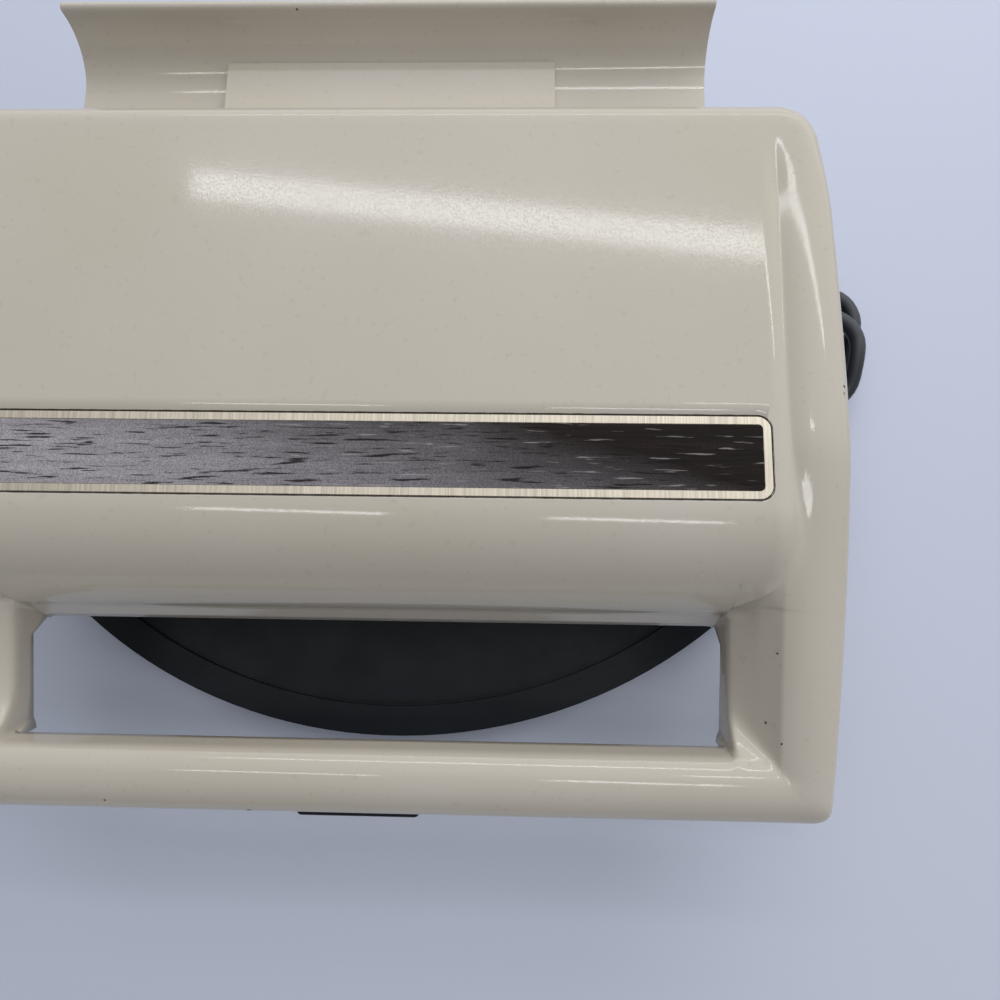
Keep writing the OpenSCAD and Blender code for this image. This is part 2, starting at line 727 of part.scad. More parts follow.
// The housing's rear room, below the gutter
room_x = gutter_w / 2;
room_y = y_axis + 10.5;
outlet_x = 88;
relief_r = 6;
module lower_housing() {
    color(almond) difference() {
        union() {
            bowl(0, floor_z, deck_z);
            along_x(-room_x, room_x) box2([y_rear - 30, floor_z], [room_y, deck_z]);
            along_x(-room_x, room_x) box2([shelf_y[0], floor_z], [room_y, shelf_z]);
            along_x(-gutter_w / 2, gutter_w / 2) gutter_profile();
            along_x(-block_w / 2, block_w / 2) block_profile();
        }
        difference() {
            bowl(wall, floor_z - over, deck_z - wall);
            at_housing_bosses(over);
        }
        box3([-room_x + wall, y_rear - 40, floor_z - over], [room_x - wall, room_y - wall, deck_z - wall]);
        box3([-room_x + wall, shelf_y[0] + wall, deck_z - 2 * wall],
             [room_x - wall, room_y - wall, shelf_z - wall]);
        box3([-window_x, y_plate - window_y, deck_z - wall - over],
             [window_x, y_plate + window_y, deck_z + over]);
        at_housing_screws() along_z(floor_z - over, floor_z + 12) circle(r = screw_hole_r);
        translate([0, y_axis, axis_z]) rod_x(-block_w, block_w, pin_d / 2 + pin_fit);
        translate([lead_x + 14, y_axis, 0]) along_z(deck_z, shelf_z + over) circle(r = lead_r + gap);
        translate([outlet_x, 0, outlet_z]) rod_y(room_y - wall - over, room_y + over, relief_r + 0.1);
    }
}
// Bosses in the bowl for the screws that come up through the pan, webbed to the side walls
boss_h = 16;
module at_housing_bosses(grow) {
    for (y = housing_screw_y) both_sides() translate([0, y, 0]) {
        translate([housing_screw_x, 0, floor_z - 2 * grow]) cylinder(h = boss_h + 2 * grow, r = post_r);
        box3([housing_screw_x, -wall / 2, floor_z - 2 * grow], [half_w, wall / 2, floor_z + boss_h]);
    }
}

// ---------------------------------------------------------------- cooking plates

// Sides of a sandwich well, and the bridge between the two wells
bridge = ridge_t + 3;
well_w = (plate_w - bridge) / 2 - side_rim;
well_l = plate_l - 2 * end_rim;
// One triangular pocket, wide end up, with its mouth at z = 0
pocket_r = 9;
wall_run = 3;
module pocket_plan(in) {
    r = pocket_r - in;
    a = [-well_w / 2 + pocket_r, -well_l / 2 + pocket_r];
    k = ridge_t / 2;
    d = pocket_r * (1 + sqrt(2)) + k * sqrt(2) - pocket_r;
    b = [well_w / 2 - d - pocket_r, a[1]];
    c = [a[0], well_l / 2 - d - pocket_r];
    for (p = [a, b, c]) translate(p) circle(r = r, $fn = draft);
}
module pocket() {
    hull() {
        along_z(0, over) pocket_plan(0);
        along_z(-pocket_d, -pocket_d + 0.01) pocket_plan(wall_run);
    }
}

// A cooking plate, face up at z = 0: a rim, two wells, each with a seal ridge from corner to corner
well_x = (well_w + bridge) / 2;
body_margin = 3;
plate_back = pocket_d + 3;
reflector_screw_y = well_l / 2 - 10;
module cooking_plate() {
    px = plate_w / 2;
    py = plate_l / 2;
    bx = well_x + well_w / 2 + body_margin;
    by = well_l / 2 + body_margin;
    difference() {
        union() {
            box3([-px, -py, -plate_t], [px, py, 0]);
            box3([-bx, -by, -plate_back], [bx, by, -plate_t + 0.5]);
            for (y = [-reflector_screw_y, reflector_screw_y]) translate([0, y, 0])
                along_z(-plate_back - boss_drop, -plate_back + over) circle(r = 4);
        }
        for (s = [-1, 1], t = [0, 180]) translate([s * well_x, 0, 0])
            mirror([s > 0 ? 0 : 1, 0, 0]) rotate(t) pocket();
        for (x = [-plate_screw_x, plate_screw_x], y = [-plate_screw_y, plate_screw_y])
            translate([x, y, 0]) {
                flat_seat(plate_t + over);
                along_z(-plate_back - over, -plate_t) circle(r = post_r + 2 * gap);
            }
        for (y = [-reflector_screw_y, reflector_screw_y]) translate([0, y, 0])
            along_z(-plate_back - boss_drop - over, -plate_back + 1.5) circle(r = screw_hole_r);
    }
}

module lower_place() {
    translate([0, y_plate, lower_face_z]) children();
}
module upper_place() {
    translate([0, y_plate, upper_face_z]) mirror([0, 0, 1]) children();
}

// Sheathed element: a loop behind the wells with both cold ends at the rear
loop_in = [33, 20];
loop_x = well_x + well_w / 2 - loop_in[0];
loop_y = [loop_in[1] - well_l / 2, well_l / 2 - loop_in[1]];
loop_r = 15;
end_x = 14;
end_y = plate_l / 2 - 4.5;
pin_l = 8;
element_z = -plate_back - gap - element_d / 2;
module bend(at, a0) {
    translate([at[0], at[1], element_z]) rotate(a0) rotate_extrude(angle = 90)
        translate([loop_r, 0]) circle(d = element_d);
}
module element() {
    r = element_d / 2;
    translate([0, loop_y[0], element_z]) rod_x(-loop_x + loop_r, loop_x - loop_r, r);
    both_sides() {
        bend([loop_x - loop_r, loop_y[0] + loop_r], -90);
        translate([loop_x, 0, element_z]) rod_y(loop_y[0] + loop_r, loop_y[1] - loop_r, r);
        bend([loop_x - loop_r, loop_y[1] - loop_r], 0);
        translate([0, loop_y[1], element_z]) rod_x(end_x + loop_r, loop_x - loop_r, r);
        bend([end_x + loop_r, loop_y[1] + loop_r], 180);
        translate([end_x, 0, element_z]) rod_y(loop_y[1] + loop_r, end_y, r);
        translate([end_x, 0, element_z]) rod_y(end_y - over, end_y + pin_l, 1.3);
    }
}

// Straps that clamp the element to the back of the plate
clip_l = 10;
strap_t = 1;
module element_clips() {
    r = element_d / 2 + 0.1;
    z0 = element_z - r - strap_t;
    clip_y = loop_y[1] - loop_r - 7;
    both_sides() for (y = [-clip_y, clip_y]) translate([loop_x, y, 0]) {
        box3([-r - strap_t, -clip_l / 2, z0], [r + strap_t, clip_l / 2, z0 + strap_t]);
        for (x = [-r - strap_t, r]) box3([x, -clip_l / 2, z0], [x + strap_t, clip_l / 2, -plate_back]);
    }
}

// Shallow pan that throws the heat back at the plate
pan_in = 8;
boss_drop = element_d + 3.4;
module reflector() {
    x = well_x + well_w / 2 - pan_in;
    y = well_l / 2 - pan_in + 8;
    z0 = -plate_back - boss_drop - reflector_t;
    difference() {
        union() {
            along_z(z0, z0 + reflector_t) difference() {
                box2([-x, -y], [x, y]);
                for (s = [-1, 1]) translate([0, s * reflector_screw_y]) circle(r = screw_hole_r);
                translate([30, 0]) circle(r = 6);
            }
            along_z(z0, -plate_back) difference() {
                box2([-x, -y], [x, y]);
                box2([-x + reflector_t, -y + reflector_t], [x - reflector_t, y - reflector_t]);
            }
        }
        both_sides() translate([end_x, 0, 0]) {
            r = element_d / 2 + gap;
            translate([0, 0, element_z]) rod_y(y - 2 * reflector_t, y + over, r);
            box3([-r, y - 2 * reflector_t, element_z], [r, y + over, over - plate_back]);
        }
    }
}
module reflector_screws() {
    z0 = -plate_back - boss_drop - reflector_t;
    for (s = [-1, 1]) translate([0, s * reflector_screw_y, 0]) {
        along_z(z0 - pan_head_h, z0) circle(r = pan_head_r);
        along_z(z0 - over, z0 + 9) circle(r = screw_r);
    }
}

module lower_plate() {
    color(nonstick) lower_place() cooking_plate();
}
module upper_plate() {
    color(nonstick) upper_place() cooking_plate();
}
module lower_plate_screws() {
    color(steel) at_plate_screws() translate([0, 0, lower_face_z]) flat_screw(plate_screw_l);
}
module upper_plate_screws() {
    color(steel) at_plate_screws() translate([0, 0, upper_face_z]) mirror([0, 0, 1]) flat_screw(plate_screw_l - 2);
}
module lower_element() {
    color(steel) lower_place() element();
}
module upper_element() {
    color(steel) upper_place() element();
}
module lower_element_clips() {
    color(bright) lower_place() element_clips();
}
module upper_element_clips() {
    color(bright) upper_place() element_clips();
}
module lower_reflector() {
    color(bright) lower_place() reflector();
}
module upper_reflector() {
    color(bright) upper_place() reflector();
}
module lower_reflector_screws() {
    color(steel) lower_place() reflector_screws();
}
module upper_reflector_screws() {
    color(steel) upper_place() reflector_screws();
}

// Snap-disc thermostat on the back of the lower plate, between its wells
stat_h = 7;
module thermostat() {
    color(bright) lower_place() {
        along_z(-plate_back - stat_h, -plate_back) circle(r = 8);
        both_sides() box3([7, -3, -plate_back - stat_h + 1], [13, 3, -plate_back - stat_h + 1.8]);
    }
}

// Ceramic terminal block on the pan's floor, where the mains lead is joined
block_at = [58, y_axis - 9];
block_size = [34, 14, 12];
module terminal_block() {
    translate([block_at[0] - block_size[0] / 2, block_at[1] - block_size[1] / 2, floor_z]) {
        color([0.85, 0.83, 0.78]) difference() {
            cube(block_size);
            for (i = [0:2]) translate([block_size[0] * (i + 0.5) / 3, 0, 6]) rod_y(-over, block_size[1] + over, 1.7);
        }
    }
}

// A tube of radius r through given points, with n sides
function unit(v) = v / norm(v);
function way(p, i) = unit(p[min(i + 1, len(p) - 1)] - p[max(i - 1, 0)]);
function side_of(d) = unit(cross(d, abs(d[2]) < 0.9 ? [0, 0, 1] : [1, 0, 0]));
module tube(p, r, n) {
    m = len(p);
    rings = [for (i = [0:m - 1]) let (d = way(p, i), u = side_of(d), v = cross(d, u))
        for (k = [0:n - 1]) p[i] + r * (cos(360 * k / n) * u + sin(360 * k / n) * v)];
    walls = [for (i = [0:m - 2], k = [0:n - 1]) let (j = (k + 1) % n)
        [i * n + k, (i + 1) * n + k, (i + 1) * n + j, i * n + j]];
    ends = [[for (k = [0:n - 1]) k], [for (k = [n - 1:-1:0]) (m - 1) * n + k]];
    polyhedron(rings, concat(walls, ends));
}
// Points along a smooth curve through the given points, s steps to a stretch
function bezier(a, b, c, d, t) =
    0.5 * ((2 * b) + (c - a) * t + (2 * a - 5 * b + 4 * c - d) * t * t + (3 * b - a - 3 * c + d) * t * t * t);
function smooth(p, s) = [
    for (i = [0:len(p) - 2], k = [0:s - 1])
        bezier(p[max(i - 1, 0)], p[i], p[i + 1], p[min(i + 2, len(p) - 1)], k / s),
    p[len(p) - 1]
];

// Insulated leads inside the base, and the pair that crosses to the lid along the hinge axis
wire_r = 1.2;
cross_x = lead_x + 6.2;
module base_leads() {
    pin_z = lower_face_z + element_z;
    pin_y = y_plate + end_y + pin_l;
    stat_z = lower_face_z - plate_back - stat_h + 1.4;
    front_y = block_at[1] - block_size[1] / 2;
    in_y = room_y - wall - 2.8;
    port = [for (i = [0:2]) [block_at[0] + block_size[0] * ((i + 0.5) / 3 - 0.5), front_y + 0.3, floor_z + 6]];
    color(rubber) {
        tube(smooth([port[0] + [0, 3, 0], port[0], port[0] - [0, 4, 0], [end_x + 16, front_y - 4, floor_z + 11.2], [end_x, pin_y - 2, pin_z - 4],
                     [end_x, pin_y - 0.5, pin_z - 2.8]], 4), wire_r, 6);
        tube(smooth([port[1] + [0, 3, 0], port[1], port[1] - [0, 4, 0], [block_at[0] - 12, front_y - 13, floor_z + 7.2], [31, y_plate + 20, floor_z + 9.2], [30, y_plate + 3, stat_z - 10],
                     [27, y_plate, stat_z - 3], [13.3, y_plate, stat_z]], 4), wire_r, 6);
        tube(smooth([port[2] + [0, 3, 0], port[2], port[2] - [0, 5, 0], [lead_x + 3.5, front_y - 7, floor_z + 11.2], [lead_x + 12, y_axis - 9, deck_z - 19.5],
                     [lead_x + 14, y_axis, deck_z - 4], [lead_x + 14, y_axis, shelf_z + 1],
                     [lead_x + 12, y_axis, axis_z - 2.5], [cross_x + 2.3, y_axis, axis_z],
                     [cross_x + 1.3, y_axis, axis_z], [cross_x + gap, y_axis, axis_z]], 4), wire_r + 0.3, 8);
        for (i = [1, 2]) let (back = port[i] + [0, block_size[1] - 2 * gap, 0], rise = 4.2 - 2.8 * i)
            tube(smooth([[outlet_x, in_y, outlet_z - rise], [outlet_x, in_y - 0.5, outlet_z - rise],
                         [outlet_x, in_y - 1, outlet_z - rise], [outlet_x - 2, in_y - 2.7, outlet_z - rise],
                         [back[0] + 10, in_y - 2 * i, outlet_z - 9 + 4 * i], back + [3, 4 - i / 2, 0], back + [0, 1, 0],
                         back - [0, 3, 0]], 4), wire_r, 6);
    }
}
module lid_leads() {
    end_z = upper_face_z - element_z;
    pin_y = y_plate + end_y + pin_l;
    color(rubber) {
        tube(smooth([[cross_x, y_axis, axis_z], [cross_x - 1, y_axis, axis_z], [cross_x - 2, y_axis, axis_z],
                     [lead_x + 1.2, y_axis - 2, axis_z], [lead_x, y_rear + 2, axis_z], [lead_x, y_rear - 5, axis_z]], 4), wire_r + 0.3, 8);
        tube(smooth([[lead_x, y_rear - 4.7, axis_z + 1.4], [lead_x - 12, y_rear - 8, axis_z + 4], [44, y_rear - 9, end_z + 4],
                     [end_x + 5, pin_y - 3, end_z + 3.4], [end_x, pin_y - 3, end_z + 2.8]], 4), wire_r, 6);
        tube(smooth([[lead_x, y_rear - 4.7, axis_z - 1.4], [lead_x - 14, y_rear - 8, axis_z - 1], [40, y_rear - 7, axis_z],
                     [0, y_rear - 7, end_z + 5], [-end_x + 4, pin_y - 3, end_z + 4],
                     [-end_x, pin_y - 3, end_z + 2.8]], 4), wire_r, 6);
    }
}

// ---------------------------------------------------------------- mains lead

module strain_relief() {
    color(rubber) translate([outlet_x, 0, outlet_z]) difference() {
        union() {
            translate([0, room_y + relief_l, 0]) rotate([90, 0, 0])
                cylinder(h = relief_l, r1 = cord_d / 2 + 1.1, r2 = relief_r);
            rod_y(room_y, room_y + 2.5, relief_r + 2);
            rod_y(room_y - wall - over, room_y + over, relief_r);
            rod_y(room_y - wall - 3, room_y - wall, relief_r + 1.5);
        }
        rod_y(room_y - wall - 4, room_y + relief_l + over, cord_d / 2 + 0.1);
    }
}

// The route of the lead, from inside the housing to the hank
lead_route = [
    [88, 106, 26], [88, 126, 26], [88, 134, 26], [89, 142, 24.5], [93, 151, 19], [101, 159, 12], [111, 163, 6.5],
    [122, 162, 4], [133, 156, 3.3], [144, 146, 3.3], [153, 134, 3.3], [160, 120, 3.3], [165, 105, 3.3],
    [168, 90, 3.3], [168.5, 74, 3.3], [168.2, 65, 3.3]
];
// The route from the hank to the plug
tail_route = [[163, -56, 16.3], [160, -68, 15], [157.6, -78, 11.5], [156.2, -87, 8.9], [156, -92.5, 8.5], [156, -96, 8.5]];
cord_tube_r = cord_d / 2;
module cord_lead() {
    color(rubber) tube(smooth(lead_route, 2), cord_tube_r, 8);
}
module cord_tail() {
    color(rubber) tube(smooth(tail_route, 2), cord_tube_r, 8);
}

// The hank: an outline with round ends, and a waist where the tie goes round it
hank_a = [180.5, 55];
hank_b = [168, -42];
hank_r = 16.3;
hank_h = 20;
waist = [14.6, 13, 17.6];
tie_t = 1.2;
hank_l = norm(hank_b - hank_a);
module in_hank() {
    translate([hank_a[0], hank_a[1], 0]) rotate(atan2(hank_b[1] - hank_a[1], hank_b[0] - hank_a[0])) children();
}
module cord_hank() {
    m = hank_l / 2;
    color(rubber) in_hank() difference() {
        along_z(0, hank_h) {
            circle(r = hank_r);
            translate([hank_l, 0]) circle(r = hank_r);
            box2([0, -hank_r], [hank_l, hank_r]);
        }
        difference() {
            box3([m - waist[1] / 2, -far, -over], [m + waist[1] / 2, far, hank_h + over]);
            box3([0, -waist[0] / 2, tie_t + gap], [hank_l, waist[0] / 2, waist[2] + tie_t]);
        }
    }
}
module cord_tie() {
    m = hank_l / 2;
    w = waist[1] / 2 - 2.5;
    y = waist[0] / 2 + gap;
    z1 = waist[2] + tie_t + gap;
    color([0.12, 0.12, 0.13]) in_hank() difference() {
        box3([m - w, -y - tie_t, 0], [m + w, y + tie_t, z1 + tie_t]);
        box3([m - w - over, -y, tie_t], [m + w + over, y, z1]);
    }
}

// A two-blade plug lying on its side, with its blades towards the front
plug_at = [156, -96, 8.5];
plug_size = [24, 30, 17];
blade = [1.5, 17, 6.3];
blade_root = 8;
blade_pitch = 12.7;
module plug_body() {
    color(rubber) translate(plug_at) difference() {
        union() {
            box3([-plug_size[0] / 2, -plug_size[1], -plug_size[2] / 2], [plug_size[0] / 2, -8, plug_size[2] / 2]);
            rod_y(-10, 2, 5.5);
        }
        for (s = [-1, 1]) translate([s * blade_pitch / 2, -plug_size[1] + (blade_root + gap - over) / 2, 0])
            cube([blade[0] + 0.1, blade_root + gap + over, blade[2] + 0.1], center = true);
        rod_y(-3, over + 2, cord_d / 2 + 0.1);
    }
}
module plug_blades() {
    color([0.78, 0.66, 0.4]) for (s = [-1, 1])
        translate(plug_at + [s * blade_pitch / 2, -plug_size[1] + (blade_root - blade[1]) / 2, 0])
            cube([blade[0], blade[1] + blade_root, blade[2]], center = true);
}

base_pan();
rubber_feet();
housing_screws();
lower_housing();
lower_plate();
lower_plate_screws();
lower_element();
lower_element_clips();
lower_reflector();
lower_reflector_screws();
thermostat();
terminal_block();
base_leads();
hinge_pin();
pin_clips();
lid_shell();
badge_plate();
badge_inlay();
handle_liner();
lid_frame();
inner_trim_screws();
lid_hinge_lugs();
lug_screws();
upper_plate();
upper_plate_screws();
upper_element();
upper_element_clips();
upper_reflector();
upper_reflector_screws();
lid_leads();
strain_relief();
cord_lead();
cord_hank();
cord_tie();
cord_tail();
plug_body();
plug_blades();
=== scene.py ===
"""Looks of a countertop sandwich toaster: enamelled lid with a badge, gutter, pan, cooking plates, mains cord."""

import bmesh
import bpy
import numpy as np
from mathutils import Matrix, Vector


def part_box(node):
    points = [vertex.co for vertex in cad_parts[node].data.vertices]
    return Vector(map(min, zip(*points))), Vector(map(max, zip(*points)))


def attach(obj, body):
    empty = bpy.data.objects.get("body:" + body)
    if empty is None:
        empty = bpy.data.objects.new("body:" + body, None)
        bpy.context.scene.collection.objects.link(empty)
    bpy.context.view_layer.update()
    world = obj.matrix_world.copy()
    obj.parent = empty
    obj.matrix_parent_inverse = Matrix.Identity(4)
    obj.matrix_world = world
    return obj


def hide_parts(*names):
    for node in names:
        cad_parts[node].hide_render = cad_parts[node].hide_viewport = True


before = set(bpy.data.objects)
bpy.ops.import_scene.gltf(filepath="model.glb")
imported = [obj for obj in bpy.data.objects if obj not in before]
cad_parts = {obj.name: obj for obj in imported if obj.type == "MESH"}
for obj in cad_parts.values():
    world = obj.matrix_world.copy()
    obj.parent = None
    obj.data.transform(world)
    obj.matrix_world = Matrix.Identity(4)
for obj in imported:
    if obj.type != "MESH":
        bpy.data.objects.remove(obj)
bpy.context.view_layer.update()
MM = 0.001


# ---------------------------------------------------------------- mesh tools, all in millimetres


def grid_faces(n, m, wrap_u=False, wrap_v=False):
    """Quads of an n by m grid of points, row after row, closed along u or v where asked."""
    i = np.arange(n if wrap_u else n - 1)[:, None]
    j = np.arange(m if wrap_v else m - 1)[None, :]
    i2, j2 = (i + 1) % n, (j + 1) % m
    return np.stack([i * m + j, i2 * m + j, i2 * m + j2, i * m + j2], -1).reshape(-1, 4)


def patch(points, wrap_u=False, wrap_v=False, flip=False, keep=None):
    """A patch from an (n, m, 3) array; keep masks its quads, and flip turns them over."""
    n, m = points.shape[:2]
    faces = grid_faces(n, m, wrap_u, wrap_v)
    if keep is not None:
        faces = faces[keep.reshape(-1)]
    return points.reshape(-1, 3), faces[:, ::-1] if flip else faces


def cap(loop, flip=False):
    """A flat fan from a loop's mean point to its rim."""
    n = len(loop)
    points = np.vstack([loop, loop.mean(0)])
    k = np.arange(n)
    faces = np.stack([k, (k + 1) % n, np.full(n, n), np.full(n, n)], -1)
    return points, faces[:, ::-1] if flip else faces


def piece(name, patches, body, paint, hides=(), sharp=40.0, closed=True):
    """One object from patches: equal points are merged, flat slivers dropped, and a closed skin turned outwards."""
    points, faces, start = [], [], 0
    for pts, quads in patches:
        points.append(pts)
        faces.append(quads + start)
        start += len(pts)
    points, faces = np.vstack(points), np.vstack(faces)
    _, first, back = np.unique(np.round(points, 4), axis=0, return_index=True, return_inverse=True)
    faces = back.reshape(-1)[faces]
    points = points[first] * MM
    corners = [np.array(list(dict.fromkeys(q))) for q in faces.tolist()]
    corners = [c for c in corners if len(c) > 2]
    used, flat = np.unique(np.concatenate(corners), return_inverse=True)
    points = points[used]
    corners = [c.tolist() for c in np.split(flat.reshape(-1), np.cumsum([len(c) for c in corners])[:-1])]
    mesh = bpy.data.meshes.new(name)
    mesh.from_pydata(points.tolist(), [], corners)
    mesh.validate()
    if closed:
        outwards(mesh)
    mesh.polygons.foreach_set("use_smooth", np.ones(len(mesh.polygons), bool))
    mesh.set_sharp_from_angle(angle=np.radians(sharp))
    obj = bpy.data.objects.new(name, mesh)
    bpy.context.scene.collection.objects.link(obj)
    obj.data.materials.append(paint)
    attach(obj, body)
    if hides:
        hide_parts(*hides)
    return obj


def outwards(mesh):
    """Turns the faces of a closed mesh outwards."""
    work = bmesh.new()
    work.from_mesh(mesh)
    bmesh.ops.recalc_face_normals(work, faces=work.faces)
    work.to_mesh(mesh)
    work.free()


def thicken(obj, wall):
    """Gives an open skin its wall, inwards."""
    mod = obj.modifiers.new("wall", "SOLIDIFY")
    mod.thickness = wall * MM
    mod.offset = -1
    mod.use_quality_normals = True


def step(a, b, t):
    """A smooth step from 0 at a to 1 at b."""
    u = np.clip((t - a) / (b - a), 0, 1)
    return u * u * (3 - 2 * u)


def arc_drop(r, run):
    """How far a circle of radius r falls below its top, run to one side of it."""
    return r - np.sqrt(r * r - np.clip(run, 0, r) ** 2)


def rounded_loop(x0, x1, y0, y1, r, per_corner=10, per_side=8):
    """Points round a rectangle with round corners, the same number whatever its size."""
    turn = np.radians(np.linspace(0, 90, per_corner))
    arc = np.stack([np.cos(turn), np.sin(turn)], -1) * r
    centres = [(x1 - r, y0 + r, -90), (x1 - r, y1 - r, 0), (x0 + r, y1 - r, 90), (x0 + r, y0 + r, 180)]
    corners = []
    for cx, cy, angle in centres:
        c, s = np.cos(np.radians(angle)), np.sin(np.radians(angle))
        corners.append(arc @ np.array([[c, s], [-s, c]]) + (cx, cy))
    loop = []
    t = np.linspace(0, 1, per_side + 2)[1:-1, None]
    for k in range(4):
        a, b = corners[k][-1], corners[(k + 1) % 4][0]
        loop += [corners[k], a + (b - a) * t]
    return np.vstack(loop)


def rings(loops, heights):
    """Stacks plane loops at heights into an (n, m, 3) grid."""
    out = []
    for loop, z in zip(loops, heights):
        z = np.broadcast_to(z, len(loop))
        out.append(np.column_stack([loop, z]))
    return np.stack(out)


def catmull(points, steps):
    """A smooth curve through points: Catmull-Rom pieces, steps to a stretch."""
    p = np.asarray(points, float)
    p = np.vstack([2 * p[0] - p[1], p, 2 * p[-1] - p[-2]])
    t = np.linspace(0, 1, steps, endpoint=False)[None, :, None]
    a, b, c, d = p[:-3, None], p[1:-2, None], p[2:-1, None], p[3:, None]
    q = 0.5 * (2 * b + (c - a) * t + (2 * a - 5 * b + 4 * c - d) * t**2 + (3 * b - a - 3 * c + d) * t**3)
    return np.vstack([q.reshape(-1, 3), p[-2]])


def even(points, gap):
    """The same path with its points an equal gap apart."""
    run = np.r_[0, np.cumsum(np.linalg.norm(np.diff(points, axis=0), axis=1))]
    at = np.linspace(0, run[-1], max(2, int(round(run[-1] / gap)) + 1))
    return np.stack([np.interp(at, run, points[:, k]) for k in range(3)], -1)


# ---------------------------------------------------------------- finishes


class Finish:
    """Builds one node material: constants sit on the shader's sockets, and patterns read object space."""

    def __init__(self, name, colour, roughness, metallic=0.0, coat=0.0, specular=0.5, coat_roughness=0.1):
        self.mat = bpy.data.materials.new(name)
        self.mat.use_nodes = True
        self.mat.diffuse_color = (*colour, 1)
        self.tree = self.mat.node_tree
        self.shader = self.tree.nodes["Principled BSDF"]
        for socket, value in (
            ("Base Color", (*colour, 1)),
            ("Roughness", roughness),
            ("Metallic", metallic),
            ("Coat Weight", coat),
            ("Coat Roughness", coat_roughness),
            ("Specular IOR Level", specular),
        ):
            self.shader.inputs[socket].default_value = value
        self.place = self.node("ShaderNodeTexCoord").outputs["Object"]

    def node(self, kind, **settings):
        """A new node with its settings."""
        new = self.tree.nodes.new(kind)
        for key, value in settings.items():
            setattr(new, key, value)
        return new

    def link(self, out, into):
        self.tree.links.new(out, into)

    def axes(self):
        """The place's X, Y and Z apart, in metres."""
        apart = self.node("ShaderNodeSeparateXYZ")
        self.link(self.place, apart.inputs[0])
        return apart.outputs

    def stretched(self, scale, turn=(0, 0, 0)):
        """Object space times scale, then turned."""
        m = self.node("ShaderNodeMapping")
        m.inputs["Scale"].default_value = scale
        m.inputs["Rotation"].default_value = turn
        self.link(self.place, m.inputs["Vector"])
        return m.outputs[0]

    def noise(self, scale, detail=2.0, rough=0.5, where=None):
        """Noise of that many waves to a metre."""
        n = self.node("ShaderNodeTexNoise")
        n.inputs["Scale"].default_value = scale
        n.inputs["Detail"].default_value = detail
        n.inputs["Roughness"].default_value = rough
        self.link(where or self.place, n.inputs["Vector"])
        return n.outputs[0]

    def ramp(self, value, stops):
        """Maps a value through colours at stops, (place, grey or colour) each."""
        r = self.node("ShaderNodeValToRGB")
        band = r.color_ramp.elements
        while len(band) < len(stops):
            band.new(0.5)
        for element, (at, colour) in zip(band, stops):
            element.position = at
            element.color = (*((colour,) * 3 if np.isscalar(colour) else colour), 1)
        self.link(value, r.inputs[0])
        return r.outputs[0]

    def mix(self, factor, a, b, blend="MIX"):
        """Mixes two colours, each a socket or numbers."""
        m = self.node("ShaderNodeMix", data_type="RGBA", blend_type=blend)
        for socket, value in ((m.inputs[0], factor), (m.inputs[6], a), (m.inputs[7], b)):
            if isinstance(value, bpy.types.NodeSocket):
                self.link(value, socket)
            else:
                socket.default_value = value if np.isscalar(value) else (*value, 1)
        return m.outputs[2]

    def maths(self, operation, a, b=0.0):
        """One sum of two values, each a socket or a number."""
        m = self.node("ShaderNodeMath", operation=operation)
        for socket, value in zip(m.inputs, (a, b)):
            if isinstance(value, bpy.types.NodeSocket):
                self.link(value, socket)
            else:
                socket.default_value = value
        return m.outputs[0]

    def bump(self, height, distance, strength=1.0, after=None):
        """Adds relief of that many metres to the normal."""
        b = self.node("ShaderNodeBump")
        b.inputs["Strength"].default_value = strength
        b.inputs["Distance"].default_value = distance
        self.link(height, b.inputs["Height"])
        if after:
            self.link(after, b.inputs["Normal"])
        self.link(b.outputs[0], self.shader.inputs["Normal"])
        return b.outputs[0]

    def use(self, out, socket="Base Color"):
        """Gives an output to one of the shader's sockets."""
        self.link(out, self.shader.inputs[socket])


def linear(r, g, b):
    """Linear colour from an 8-bit display colour."""
    c = np.array([r, g, b]) / 255
    return tuple(np.where(c <= 0.04045, c / 12.92, ((c + 0.055) / 1.055) ** 2.4).tolist())


# chips in the paint: where, half width across and half length along, in millimetres
CHIPS = [
    (149.0, 63, 97, 1.6, 5), (149.4, 57, 96, 1.1, 3.4), (149.6, 52.5, 95.5, 1.2, 4.4), (149.6, 49, 95, 0.9, 2.6),
    (147.6, -4.6, 99.6, 1.0, 1.1), (147.4, -6.4, 99.6, 1.1, 1.3), (148.6, 78, 96, 0.8, 1.2),
    (128, -85, 89, 0.4, 0.4), (129.4, -112, 84, 0.5, 0.6), (80, -58, 94, 0.35, 0.4), (62, -62, 91, 0.3, 0.3),
    (-34, -136, 79, 1.0, 0.5),
]


def badge_seam(f):
    """1 within a hair of the badge's rounded rectangle on the lid's top, else 0: painted shade in the joint."""
    axes = f.axes()
    corner_r, line_w, top_z = 0.0043, 0.0004, 0.1025
    out = []
    for axis, middle, half in (("X", 0.0, 0.1201), ("Y", -0.0275, 0.0086)):
        far = f.maths("ABSOLUTE", f.maths("SUBTRACT", axes[axis], middle))
        out.append(f.maths("SUBTRACT", far, half))
    past = [f.maths("MAXIMUM", q, 0.0) for q in out]
    corner = f.maths("SQRT", f.maths("ADD", *[f.maths("MULTIPLY", q, q) for q in past]))
    inner = f.maths("MINIMUM", f.maths("MAXIMUM", *out), 0.0)
    gap = f.maths("ABSOLUTE", f.maths("SUBTRACT", f.maths("ADD", corner, inner), corner_r))
    on_top = f.maths("GREATER_THAN", axes["Z"], top_z)
    line = f.maths("LESS_THAN", f.maths("ADD", gap, f.maths("MULTIPLY", f.noise(260, 2), 0.00025)), line_w)
    return f.maths("MULTIPLY", line, on_top)


